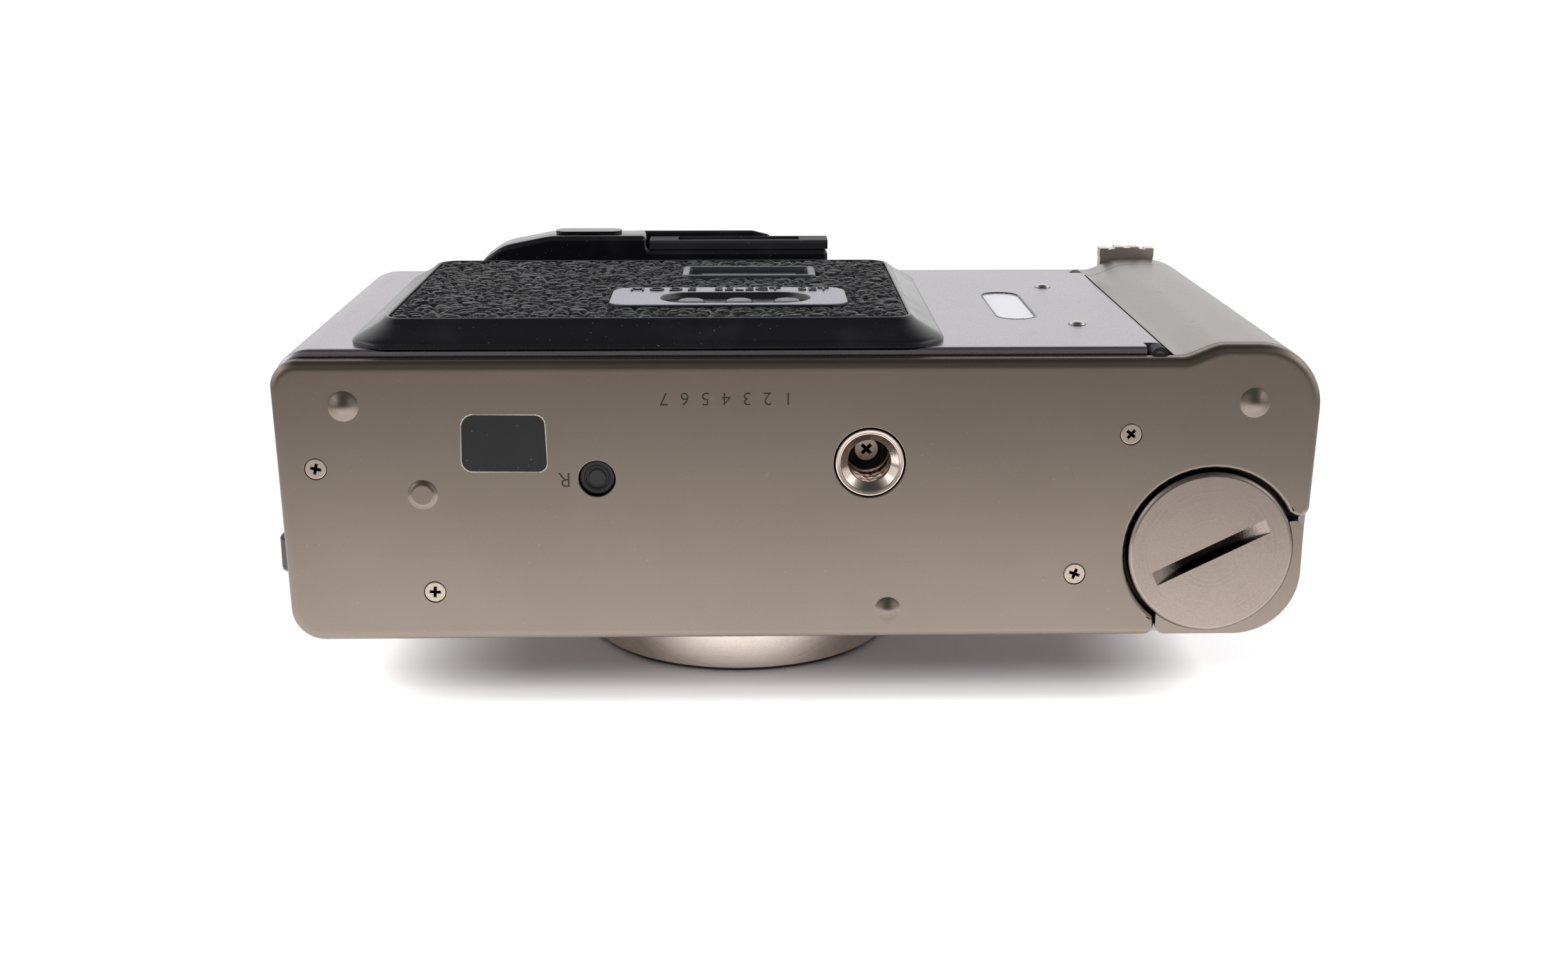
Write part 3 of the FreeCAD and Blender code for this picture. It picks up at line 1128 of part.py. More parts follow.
def swing_blade(label, side, front, arm, rim):
    """Half a disc on an arm, pivoted at one side of the lens axis. Side is 1 or -1."""
    piece = Piece(label)
    half_gap = "blade_gap / 2"
    sketch = piece.sketch("XZ", x="lens_x", y=front, z="lens_z")
    half = [("-%s" % arm, half_gap), (rim, half_gap), ("0", "%s + %s" % (rim, half_gap), rim),
            ("-%s" % rim, "blade_lug + %s" % half_gap, "%s * 1.03" % rim),
            ("-%s" % arm, "blade_lug + %s" % half_gap)]
    if side < 0:
        half = [("-(%s)" % x, "-(%s)" % z, *radius) for x, z, *radius in half]
    loop(sketch, half)
    piece.pad(sketch, "blade_thick")
    pivot = "lens_x %s %s" % ("-" if side > 0 else "+", arm)
    rods(piece, "XZ", front, [(pivot, "lens_z", "blade_lug")], "blade_thick")
    rods(piece, "XZ", "%s - over" % front, [(pivot, "lens_z", "blade_pin + run_gap")],
         "blade_thick + over * 2",
         cut=True)
    return piece


def front_element():
    """The front glass, curved outwards."""
    piece = Piece("front_element")
    front = BLADE_FRONT + " + blade_thick + blade_gap * 4"
    turned_along_lens(piece, [
        (front + " + glass_thick", "0"), (front + " + glass_thick", "glass_round"),
        (front + " + glass_thick / 2", "glass_round"),
        (front, "0", sphere("glass_round", "glass_thick / 2"))])
    return piece


def shutter_housing():
    """The disc that carries the shutter's blades, with the tube of the front glass standing on it."""
    piece = Piece("shutter_housing")
    mouth = BLADE_FRONT + " + blade_thick + blade_gap * 3"
    front = "(%s + cell_length)" % mouth
    turned_along_lens(piece, [
        (mouth, "cell_bore"), (front, "cell_bore"), (front, "housing_hole"),
        (front + " + housing_thick", "housing_hole"), (front + " + housing_thick", "housing_round"),
        (front, "housing_round"), (front, "cell_round"), (mouth, "cell_round")])
    pins = [("lens_x - leaf_arm", "lens_z", "blade_pin"), ("lens_x + leaf_arm", "lens_z", "blade_pin")]
    rods(piece, "XZ", front + " + housing_thick", pins, "blade_thick + blade_gap * 2")
    return piece


LEAF_FRONT = "(%s + blade_thick + blade_gap * 4 + cell_length + housing_thick)" % BLADE_FRONT


def rear_element():
    """The rear glass in its thick rim, behind the shutter's blades."""
    piece = Piece("rear_element")
    front = LEAF_FRONT + " + blade_thick + blade_gap * 2"
    turned_along_lens(piece, [
        (front, "0"), (front + " + rear_thick", "0"),
        (front + " + rear_thick / 2", "rear_round", sphere("rear_round", "rear_thick / 2")),
        (front + " + rear_thick / 2", "housing_round"), (front, "housing_round")])
    return piece


def glazing(label, left, right, low, high):
    """A window set in the front of the top cover, with a rim behind it."""
    piece = Piece(label)
    box = (left + " + glazing_gap", right + " - glazing_gap", low + " + glazing_gap", high + " - glazing_gap")
    block(piece, "XZ", "-body_front + glazing_gap", box, "cover_wall", radius="glazing_round")
    wide = (left + " - cover_wall", right + " + cover_wall", low + " - cover_wall", high + " + cover_wall")
    block(piece, "XZ", "-body_front + cover_wall + glazing_gap", wide, "glazing_thick - cover_wall",
          radius="glazing_round")
    return piece


def timer_lamp():
    piece = Piece("timer_lamp")
    rods(piece, "XZ", "-body_front - glazing_gap", [("-lamp_x", "lamp_z", "lamp_round - glazing_gap")],
         "cover_wall + glazing_gap * 2")
    rods(piece, "XZ", "-body_front + cover_wall + glazing_gap",
         [("-lamp_x", "lamp_z", "lamp_round + cover_wall")],
         "glazing_thick - cover_wall")
    return piece


def flash_reflector():
    """The bright trough behind the flash window, with the flash tube's groove."""
    piece = Piece("flash_reflector")
    front = "-body_front + glazing_thick + reflector_gap"
    low, high = "flash_low", "flash_high"
    sketch = piece.sketch("YZ", x="flash_right")
    middle, back = "(flash_low + flash_high) / 2", front + " + reflector_deep"
    loop(sketch, [(front, low), (back, middle + " - reflector_groove"),
                  (back, middle + " + reflector_groove"),
                  (front, high), (front, high + " - reflector_wall * 1.3"),
                  (back + " - reflector_wall", middle + " + reflector_groove * 0.7"),
                  (back + " - reflector_wall", middle + " - reflector_groove * 0.7"),
                  (front, low + " + reflector_wall * 1.3")])
    piece.pad(sketch, "flash_left - flash_right")
    return piece


def finder_tunnel():
    """The tube of the viewfinder, from the front window to the eyepiece."""
    piece = Piece("finder_tunnel")
    box = ("finder_right", "finder_left", "board_base + board_thick + seam", "finder_high")
    front = "-body_front + glazing_thick + seam"
    length = "block_front - seam - (%s)" % front
    block(piece, "XZ", front, box, length)
    bore = ("finder_right + cover_wall", "finder_left - cover_wall",
            "board_base + board_thick + seam + cover_wall",
            "finder_high - cover_wall")
    block(piece, "XZ", front + " - over", bore, length + " + over * 2", cut=True)
    return piece


def circuit_board():
    piece = Piece("circuit_board")
    block(piece, "XY", "board_base", ("-board_right", "board_left", "-board_front", "board_back"),
          "board_thick")
    return piece


def selector_ring():
    """The power ring round the shutter button, with a ribbed thumb tab at the back. The tab's
    tops lie on a slight curve, so the outer ribs are a little shorter."""
    piece = Piece("selector_ring")
    base = "roof + ring_gap"
    turned(piece, "-ring_x", "ring_y", base, [
        ("ring_bore", "-neck_depth"), ("ring_neck", "-neck_depth"), ("ring_neck", "0"), ("ring_round", "0"),
        ("ring_round", "ring_rise - key_edge"), ("ring_round - key_edge", "ring_rise"),
        ("ring_bore", "ring_rise")])
    tab = piece.sketch("XY", x="-ring_x", y="ring_y", z=base)
    inner = "ring_round * 0.86"
    loop(tab, [("-tab_half", inner), ("tab_half", inner), ("tab_half * 0.95", "tab_reach - rib_depth"),
               ("-tab_half * 0.95", "tab_reach - rib_depth", "tab_reach")])
    piece.pad(tab, "ring_rise")
    ribs = piece.sketch("XY", x="-ring_x", y="ring_y", z=base)
    half = "(rib_pitch - rib_valley) / 2"
    for number in range(int(size("rib_count"))):
        step = number - (size("rib_count") - 1) / 2
        middle, top = "%s * rib_pitch" % step, "tab_reach - %s * rib_fall" % abs(step)
        rectangle(ribs, "%s - %s" % (middle, half), "%s + %s" % (middle, half), "tab_reach - rib_depth * 2",
                  top)
    piece.pad(ribs, "ring_rise")
    return piece


def shutter_button():
    piece = Piece("shutter_button")
    dish = "-(%s)" % sphere("shutter_round - key_edge", "shutter_dish")
    turned(piece, "-ring_x", "ring_y", "roof", [
        ("0", "-shutter_skirt"), ("shutter_round", "-shutter_skirt"),
        ("shutter_round", "shutter_rise - key_edge"),
        ("shutter_round - key_edge", "shutter_rise"), ("0", "shutter_rise - shutter_dish", dish)])
    return piece


def roof_display():
    piece = Piece("roof_display")
    block(piece, "XY", "roof - panel_thick", (
        "-panel_right + glazing_gap", "panel_left - glazing_gap", "-panel_front + glazing_gap",
        "panel_back - glazing_gap"), "panel_thick - glazing_gap", radius="glazing_round - glazing_gap")
    return piece


def flash_key():
    piece = Piece("flash_key")
    turned(piece, "roof_key_x", "-roof_key_y", "roof", [
        ("0", "roof_key_rise - roof_key_length"), ("roof_key_round", "roof_key_rise - roof_key_length"),
        ("roof_key_round", "roof_key_rise - key_edge"), ("roof_key_round - key_edge", "roof_key_rise"),
        ("0", "roof_key_rise")])
    return piece


made = [
    bottom_plate(), bottom_screws(), tripod_socket(), rewind_button(),
    front_cover(), top_cover(), finder_block(), eyepiece_frame(), eyepiece_glass(),
    dioptre_slider(), back_door(), hinge_pin(), film_window(), door_rivets(), pressure_plate(),
    door_springs(), date_frame(), leather_insert(), display_bezel(), display_glass(), button_pad(),
    door_release(), strap_lugs(), chassis(), cassette_chamber(), battery_housing(), gate_plate(),
    light_seals(),
    take_up_spool(), winding_motor(), film_sprocket(), rewind_fork(), battery(), cap_contact(),
    battery_cap(), lens_mount(), mount_ring(), lens_barrel(), front_bezel(),
    front_element(), shutter_housing(), rear_element(), timer_lamp(), flash_reflector(),
    finder_tunnel(), circuit_board(), selector_ring(), shutter_button(), flash_key(), roof_display(),
]
made += [data_key(label, number) for number, label in enumerate(("set_key", "select_key", "mode_key"))]
made += [glazing("finder_window", "finder_right", "finder_left", "finder_low", "finder_high"),
         glazing("focus_window", "-focus_right", "focus_left", "focus_low", "focus_high"),
         glazing("flash_window", "flash_right", "flash_left", "flash_low", "flash_high")]
for place, side in (("upper", 1), ("lower", -1)):
    made.append(swing_blade("cover_blade_" + place, side, BLADE_FRONT, "blade_arm", "blade_round"))
    made.append(swing_blade("shutter_blade_" + place, side, LEAF_FRONT, "leaf_arm", "leaf_round"))
doc.recompute()

for thing in doc.Objects:
    if "Invalid" in thing.State or "Error" in thing.State:
        raise RuntimeError("%s did not build" % thing.Label)
os.makedirs("parts", exist_ok=True)
for piece in made:
    shape = piece.body.Shape
    if shape.isNull() or not shape.isValid() or not shape.Solids:
        raise RuntimeError("%s has no sound solid" % piece.body.Label)
    shape.exportStep("parts/%s.step" % piece.body.Label)
    print("%-20s %9.2f mm3, %d solid(s)" % (piece.body.Label, shape.Volume, len(shape.Solids)))
print("%d nodes" % len(made))
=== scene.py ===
# %% [markdown]
# A compact film camera lies on its lens on a white table, and we look at the plate under it.
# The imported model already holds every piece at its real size, so this lesson only dresses it:
# it makes the studio, the finishes, and finer surfaces for the pieces that show most.

# %% Load the frame
import json
import math
import bmesh
import bpy
import numpy as np
from mathutils import Matrix, Vector
from mathutils.geometry import delaunay_2d_cdt

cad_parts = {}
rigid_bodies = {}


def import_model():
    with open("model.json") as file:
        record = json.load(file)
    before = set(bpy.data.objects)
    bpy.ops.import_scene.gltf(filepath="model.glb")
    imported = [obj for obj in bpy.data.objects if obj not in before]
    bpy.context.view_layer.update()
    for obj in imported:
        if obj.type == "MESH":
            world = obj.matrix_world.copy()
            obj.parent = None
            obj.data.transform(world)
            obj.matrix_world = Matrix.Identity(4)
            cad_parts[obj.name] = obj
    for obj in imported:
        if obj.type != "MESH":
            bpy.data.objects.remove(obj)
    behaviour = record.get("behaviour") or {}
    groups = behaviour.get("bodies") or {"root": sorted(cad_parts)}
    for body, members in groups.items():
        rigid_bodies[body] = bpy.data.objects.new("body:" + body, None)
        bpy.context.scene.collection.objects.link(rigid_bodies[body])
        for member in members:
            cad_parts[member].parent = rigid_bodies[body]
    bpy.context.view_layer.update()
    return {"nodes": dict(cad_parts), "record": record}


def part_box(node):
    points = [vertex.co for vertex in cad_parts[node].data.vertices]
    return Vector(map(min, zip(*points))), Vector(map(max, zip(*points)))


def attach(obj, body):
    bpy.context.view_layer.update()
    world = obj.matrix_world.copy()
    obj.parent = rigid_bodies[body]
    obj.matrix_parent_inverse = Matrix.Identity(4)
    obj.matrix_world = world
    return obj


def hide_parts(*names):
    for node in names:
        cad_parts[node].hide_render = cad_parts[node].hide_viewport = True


for thing in list(bpy.data.objects):
    bpy.data.objects.remove(thing)
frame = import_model()
SLOT_OF = {part["node"]: part["material_slot"] for part in frame["record"]["subparts"]}
BODY_OF = {node: body for body, nodes in frame["record"]["behaviour"]["bodies"].items() for node in nodes}

# %% [markdown]
# Everything below is written in millimetres, measured from the middle of the body and from the
# face of the bottom plate, as a maker's drawing would be. One origin, found from the packed
# plate, turns those numbers into the metres of the model.

# %% The drawing's origin
MM = 0.001
BODY_HALF, BODY_FRONT, PLATE_BACK, GRIP_BACK, FOOT = 62.1, 17.6, 17.05, 18.6, 0.8
plate_low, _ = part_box("bottom_plate")
ORIGIN = np.array([0.0, plate_low.y + BODY_FRONT * MM, plate_low.z + FOOT * MM])


def drawn(node):
    """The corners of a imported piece, in the drawing's millimetres."""
    return [(np.array(corner) - ORIGIN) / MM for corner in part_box(node)]


def placed(name, data):
    """A new object in the scene."""
    thing = bpy.data.objects.new(name, data)
    bpy.context.scene.collection.objects.link(thing)
    return thing


print("origin in mm", np.round(ORIGIN / MM, 3))

# %% [markdown]
# The photograph was taken with a normal lens from a little above the table, so the eye looks
# down at the plate by about sixteen degrees. Blender's camera looks along its own -Z axis with
# +Y up, so its matrix holds the picture's right, up and backward directions as columns.

# %% The camera
EYE = np.array([6.71, 61.32, -209.63])
LOOK_DOWN, LOOK_ASIDE, LOOK_ROLL = math.radians(15.735), math.radians(1.315), math.radians(0.067)
FOCAL_PIXELS, PHOTO_WIDTH, SENSOR = 2872.71, 2459, 36.0


def photo_axes():
    """The picture's right, up and forward directions: a level view along +Z with +Y up, turned
    aside, then down, then rolled."""
    cy, sy, cp, sp = math.cos(LOOK_ASIDE), math.sin(LOOK_ASIDE), math.cos(LOOK_DOWN), math.sin(LOOK_DOWN)
    cr, sr = math.cos(LOOK_ROLL), math.sin(LOOK_ROLL)
    aside = np.array([[cy, 0, -sy], [0, 1, 0], [sy, 0, cy]])
    down = np.array([[1, 0, 0], [0, cp, sp], [0, -sp, cp]])
    roll = np.array([[cr, sr, 0], [-sr, cr, 0], [0, 0, 1]])
    return (roll @ down @ aside) * np.array([-1.0, 1.0, 1.0])


right, up, forward = photo_axes()
camera = placed("photo_camera", bpy.data.cameras.new("photo_camera"))
camera.data.sensor_width = SENSOR
camera.data.lens = FOCAL_PIXELS / PHOTO_WIDTH * SENSOR
camera.data.clip_start, camera.data.clip_end = 0.01, 20.0
facing = Matrix(np.stack([right, up, -forward], 1).tolist()).to_4x4()
camera.matrix_world = Matrix.Translation(Vector(EYE * MM + ORIGIN)) @ facing
bpy.context.scene.camera = camera
bpy.context.scene.view_settings.view_transform = "Standard"
print("lens", round(camera.data.lens, 2), "mm")

# %% [markdown]
# A finish is a small graph of nodes. Written one node at a time it is long and hard to read, so
# a wire here is a Python value: + - * on wires add Math nodes, and one method adds any other
# node from its type, its settings and what goes into its sockets.


# %% Wires and finishes
class Wire:
    """One output socket. Sums of wires become Math nodes."""

    def __init__(self, finish, socket):
        self.finish, self.socket = finish, socket

    def output(self, name):
        """Another output of the same node."""
        return Wire(self.finish, self.socket.node.outputs[name])

    def math(self, operation, *others):
        return self.finish.node("Math", {"operation": operation}, dict(enumerate((self,) + others)))

    def __add__(self, other):
        return self.math("ADD", other)

    def __sub__(self, other):
        return self.math("SUBTRACT", other)

    def __rsub__(self, other):
        return self.finish.node("Math", {"operation": "SUBTRACT"}, {0: other, 1: self})

    def __mul__(self, other):
        return self.math("MULTIPLY", other)

    __radd__, __rmul__ = __add__, __mul__

    def step(self, low, high, begin=0.0, end=1.0):
        """A smooth rise from begin to end while the wire goes from low to high."""
        return self.finish.node("MapRange", {"interpolation_type": "SMOOTHSTEP"},
                                {"Value": self, "From Min": low, "From Max": high,
                                 "To Min": begin, "To Max": end})


class Finish:
    """A material, or a world, and the nodes that make it."""

    def __init__(self, name, kind="materials"):
        self.material = getattr(bpy.data, kind).new(name)
        self.material.use_nodes = True
        self.tree = self.material.node_tree
        self.tree.nodes.clear()

    def node(self, kind, settings=None, values=None, out=0):
        """A node of any type, as the wire of one of its outputs."""
        node = self.tree.nodes.new("ShaderNode" + kind)
        for key, value in (settings or {}).items():
            setattr(node, key, value)
        for key, value in (values or {}).items():
            if isinstance(value, Wire):
                self.tree.links.new(value.socket, node.inputs[key])
            else:
                node.inputs[key].default_value = value
        return Wire(self, node.outputs[out])

    def spot(self, centre=(0, 0, 0), scale=(1, 1, 1), turn=(0, 0, 0)):
        """Object coordinates in millimetres about a place of the drawing, turned and then stretched."""
        away = tuple(-(np.array(centre) * MM + ORIGIN))
        moved = self.node("Mapping", {}, {"Vector": self.node("TexCoord", out=3), "Location": away})
        turned = self.node("Mapping", {}, {"Vector": moved, "Rotation": turn})
        return self.node("Mapping", {}, {"Vector": turned, "Scale": tuple(np.array(scale) / MM)})

    def parts(self, place):
        """The three numbers of a vector, each as its own wire."""
        split = self.node("SeparateXYZ", {}, {0: place})
        return [split.output(axis) for axis in "XYZ"]

    def length(self, place):
        """How long a vector is, sqrt(x^2 + y^2 + z^2)."""
        return self.node("VectorMath", {"operation": "LENGTH"}, {0: place}, out=1)

    def noise(self, place, scale, detail=3.0, rough=0.5):
        return self.node("TexNoise", {}, {"Vector": place, "Scale": scale, "Detail": detail,
                                          "Roughness": rough})

    def mix(self, mask, one, other):
        """One colour where the mask is 0 and the other where it is 1."""
        return self.node("Mix", {"data_type": "RGBA"}, {0: mask, 6: one, 7: other}, out=2)

    def bump(self, height, strength, distance, under=None):
        values = {"Height": height, "Strength": strength, "Distance": distance * MM}
        if under:
            values["Normal"] = under
        return self.node("Bump", {}, values)

    def show(self, shader, kind="Material"):
        """Sends a shader to the output."""
        out = self.tree.nodes.new("ShaderNodeOutput" + kind)
        self.tree.links.new(shader.socket, out.inputs["Surface"])

    def surface(self, **values):
        """A Principled surface, with its sockets named by words."""
        values = {key.replace("_", " "): value for key, value in values.items()}
        self.show(self.node("BsdfPrincipled", {}, values))
        return self.material


def tint(red, green, blue):
    """A colour read off a screen, 0 to 255, as the light that it stands for: v / 12.92 where it is
    very dark, and ((v + 0.055) / 1.055)^2.4 elsewhere."""
    value = np.array([red, green, blue]) / 255
    light = np.where(value <= 0.04045, value / 12.92, ((value + 0.055) / 1.055) ** 2.4)
    return tuple(light) + (1.0,)


def shade(light, gain, lift=0.0):
    """The same colour, brighter or darker: gain * light + lift."""
    return tuple(np.array(light[:3]) * gain + lift) + (1.0,)


print("middle grey is", round(tint(128, 128, 128)[0], 3), "of white's light")


# %% [markdown]
# The body is a warm grey metal with a satin, finely blasted skin. Such a skin scatters light over
# a wide angle, and its grain shows as tiny lights and darks where the surface curves away. So the
# finish is a rough metal, with a fine noise in its bump, a faint wide noise in its colour, and a
# few hair scratches, which are very thin slices of a noise that is stretched along one way.


# %% Metals
DENT_ROUND, DENT_DEEP = 0.7, 16.0


def scratches(f, centre, turn, stretch, keep):
    """Thin lines where a stretched noise passes through its middle value, kept in a few patches."""
    streak = f.noise(f.spot(centre, (1.0, stretch, stretch), turn), 0.22, 1.0)
    line = (streak - 0.5).math("ABSOLUTE").step(0.0, 0.004, 1.0, 0.0)
    return line * f.noise(f.spot(centre), 0.09, 2.0).step(keep, keep + 0.04)


def satin_metal(name, light, rough, grain=0.012, worn=0.6, dents=(), under=None):
    """Satin metal. Under is a warmer colour painted on the same metal near the plate: painted warm light."""
    f = Finish(name)
    place = f.spot()
    speck = f.noise(place, 8.0, 2.0)
    cloud = f.noise(place, 0.045, 4.0)
    streaks = (scratches(f, (3, 1, 0), (0, 0, 0.3), 9.0, 0.6)
               + scratches(f, (9, 4, 0), (0, 0, -0.8), 7.0, 0.62))
    dust = f.noise(f.spot((5, 5, 5)), 1.4, 1.0).step(0.745, 0.765)
    colour = f.mix(cloud.step(0.3, 0.7) * 0.4 + speck.step(0.3, 0.7) * 0.4, light, shade(light, 0.87))
    colour = f.mix(streaks * (0.25 * worn) + dust * (0.35 * worn), colour, shade(light, 1.5))
    # Painted warm light: within a few millimetres of the plate the colour turns to under.
    if under:
        colour = f.mix(f.parts(place)[2].step(0.5, 3.5), under, colour)
    relief = speck
    for dent in dents:
        relief = relief + f.length(f.spot(dent)).step(0.0, DENT_ROUND, -DENT_DEEP, 0.0)
    return f.surface(Base_Color=colour, Metallic=1.0,
                     Roughness=speck.step(0.3, 0.7, rough - 0.04, rough + 0.05) - streaks * 0.05,
                     Normal=f.bump(relief, 0.5, grain))


def turned_metal(name, light, rough, centre, mark=0.006, painted_shade_below=None):
    """Metal turned on a lathe: the marks are rings about the piece's own centre, and the last
    pass of the tool leaves them out of true in patches. Deeper than a given height it is painted dark: painted
    shade."""
    f = Finish(name)
    place = f.spot(centre)
    flat = f.node("VectorMath", {"operation": "MULTIPLY"}, {0: place, 1: (1, 1, 0)})
    radius = f.length(flat) + f.noise(place, 0.35, 3.0) * 0.5
    ring = f.node("TexNoise", {"noise_dimensions": "1D"}, {"W": radius, "Scale": 3.4, "Detail": 4.0})
    speck = f.noise(place, 7.0, 2.0)
    patch = f.noise(place, 0.16, 2.0).step(0.45, 0.62)
    tone = ring.step(0.3, 0.7) * (0.1 + patch * 0.4) + speck.step(0.3, 0.7) * 0.3
    colour = f.mix(tone, light, shade(light, 0.8))
    # Painted shade: deeper than the given height the colour turns nearly black.
    if painted_shade_below is not None:
        depth = f.parts(place)[2] + speck * 0.5
        colour = f.mix(depth.step(painted_shade_below, painted_shade_below + 0.8), colour, tint(22, 18, 15))
    return f.surface(Base_Color=colour, Metallic=1.0,
                     Roughness=speck.step(0.3, 0.7, rough - 0.05, rough + 0.05),
                     Normal=f.bump(ring, 0.35, mark, under=f.bump(speck, 0.4, 0.006)))


def plain_metal(name, light, rough, grain=0.004, painted_shade_below=None):
    """Bare or plated metal. Deeper than a given height above the plate it is painted dark: painted shade."""
    f = Finish(name)
    place = f.spot()
    speck = f.noise(place, 5.0, 3.0)
    colour, rougher = light, speck.step(0.3, 0.7, rough, rough + 0.12)
    # Painted shade: deeper than the given height the colour turns dark brown.
    if painted_shade_below is not None:
        depth = f.parts(place)[2] + speck * 0.1
        painted_shade = depth.step(painted_shade_below, painted_shade_below + 0.25)
        colour = f.mix(painted_shade, light, tint(26, 20, 16))
        rougher = rougher + painted_shade * 0.4
    return f.surface(Base_Color=colour, Metallic=1.0, Roughness=rougher, Normal=f.bump(speck, 0.3, grain))


print("metals: satin, turned and plain")

# %% [markdown]
# The black mouldings are glossy where they were polished in the mould and matt where they were
# etched. Gloss is never even: fingers and dust leave patches, so the roughness follows a noise,
# and a few specks of dust are light and rough.


# %% Plastics and glass
def moulding(name, light, rough, spread=0.1, grain=0.01, scale=6.0, coat=0.0, dusty=0.25):
    """A moulding. Spread is how much rougher its dull patches are, and dusty how pale its dust."""
    f = Finish(name)
    place = f.spot()
    speck = f.noise(place, scale, 3.0)
    smudge = f.noise(place, 0.15, 5.0)
    dust = f.noise(f.spot((2, 7, 3)), 3.4, 1.0).step(0.76, 0.79) * dusty
    colour = f.mix(smudge.step(0.5, 0.8) * 0.4, light, shade(light, 1.0, 0.006))
    return f.surface(Base_Color=f.mix(dust, colour, tint(150, 150, 150)),
                     Roughness=smudge.step(0.35, 0.7, rough, rough + spread) + dust * 0.5,
                     Coat_Weight=coat, Coat_Roughness=0.08, Normal=f.bump(speck, 0.3, grain))


def clear(name, light, rough, solid):
    """Glass or clear moulding. Solid is the share of the light that it scatters by itself."""
    f = Finish(name)
    smudge = f.noise(f.spot(), 0.4, 4.0)
    return f.surface(Base_Color=light, Roughness=smudge.step(0.4, 0.7, rough, rough + 0.08), IOR=1.5,
                     Transmission_Weight=1.0 - solid, Coat_Weight=0.4, Coat_Roughness=0.03)


print("mouldings and clear windows")

# %% [markdown]
# Leather cloth has pebbles between creases. The pebbles are real relief in the mesh further down,
# so the finish only adds the pores, the finer wrinkles, and paler flecks, stronger in patches that hands have
# rubbed.


# %% Leather, foam and board
def leather_finish(name, light):
    f = Finish(name)
    place = f.spot()
    fine = f.noise(place, 3.2, 5.0, 0.62)
    worn = f.noise(place, 0.22, 4.0)
    colour = f.mix(fine.step(0.45, 0.75) * worn.step(0.35, 0.7, 0.35, 1.0), light, shade(light, 2.6))
    return f.surface(Base_Color=colour, Roughness=fine.step(0.3, 0.7, 0.34, 0.5),
                     Normal=f.bump(fine, 0.5, 0.06))


def foam_finish(name, light):
    f = Finish(name)
    cell = f.node("TexVoronoi", {"feature": "F1"}, {"Vector": f.spot(), "Scale": 3.0})
    return f.surface(Base_Color=f.mix(cell.step(0.1, 0.6), light, shade(light, 3.0)),
                     Roughness=0.95, Normal=f.bump(cell, 0.8, 0.15))


def board_finish(name, light):
    """A printed board: copper tracks show as paler, straight-edged paths under green lacquer."""
    f = Finish(name)
    track = f.node("TexBrick", {"offset": 0.5}, {"Vector": f.spot(), "Scale": 0.5, "Mortar Size": 0.04,
                                                 "Color1": light, "Color2": tint(24, 70, 40),
                                                 "Mortar": tint(70, 110, 60)})
    return f.surface(Base_Color=track, Roughness=0.3, Coat_Weight=0.5, Coat_Roughness=0.1)


print("leather, foam and board")

# %% [markdown]
# Each slot of the record gets one finish, made by a recipe from its row of values, and every packed
# piece takes the finish of its slot. The door and the shell are the same metal as the plate, painted
# paler and cooler as lit copies for the light on them; the shell's turns to the plate's warm grey near
# the plate, painted warm light, and it has two small dents.

# %% The finishes
CAP_X, CAP_Y, LENS_X, LENS_Z = -49.7, -6.85, 7.25, 32.0
WARM_GREY = tint(141, 130, 120)
DENTS = ((-49.6, GRIP_BACK, 15.0), (-50.0, GRIP_BACK, 36.0))
RECIPES = {
    "titanium": (satin_metal, WARM_GREY, 0.34),
    "titanium_bright": (satin_metal, tint(216, 203, 192), 0.27, 0.004, 0.3),
    # The cap's last value paints shade into its coin slot, deeper than 0.25 mm.
    "cap_metal": (turned_metal, tint(160, 147, 139), 0.32, (CAP_X, CAP_Y, 0.0), 0.003, 0.25),
    "nickel": (plain_metal, tint(222, 206, 188), 0.16),
    "steel": (plain_metal, tint(150, 150, 152), 0.3),
    "black_gloss": (moulding, tint(8, 8, 10), 0.14, 0.08, 0.003, 3.0),
    "black_matte": (moulding, tint(22, 22, 24), 0.45, 0.1, 0.02),
    "black_rubber": (moulding, tint(20, 20, 22), 0.5, 0.1, 0.02),
    "chassis_plastic": (moulding, tint(30, 30, 32), 0.55, 0.15, 0.03, 4.0),
    "leather": (leather_finish, tint(12, 12, 14)),
    "grey_plastic": (moulding, tint(74, 74, 80), 0.3, 0.1, 0.01),
    "clear_glass": (clear, tint(222, 222, 230), 0.08, 0.35),
    "smoke_glass": (clear, tint(40, 40, 46), 0.05, 0.6),
    "lens_glass": (clear, tint(190, 195, 225), 0.0, 0.05),
    "foam": (foam_finish, tint(16, 16, 16)),
    "blade_black": (plain_metal, tint(34, 34, 36), 0.35),
    "board_green": (board_finish, tint(18, 60, 34)),
    "cell_wrap": (moulding, tint(120, 100, 44), 0.25, 0.1, 0.004),
    "lamp_red": (moulding, tint(150, 18, 20), 0.12, 0.05, 0.0, 6.0, 0.6),
    "display_grey": (moulding, tint(120, 124, 112), 0.08, 0.05, 0.0, 6.0, 0.6),
}
FINISHES = {slot: recipe(slot, *values) for slot, (recipe, *values) in RECIPES.items()}
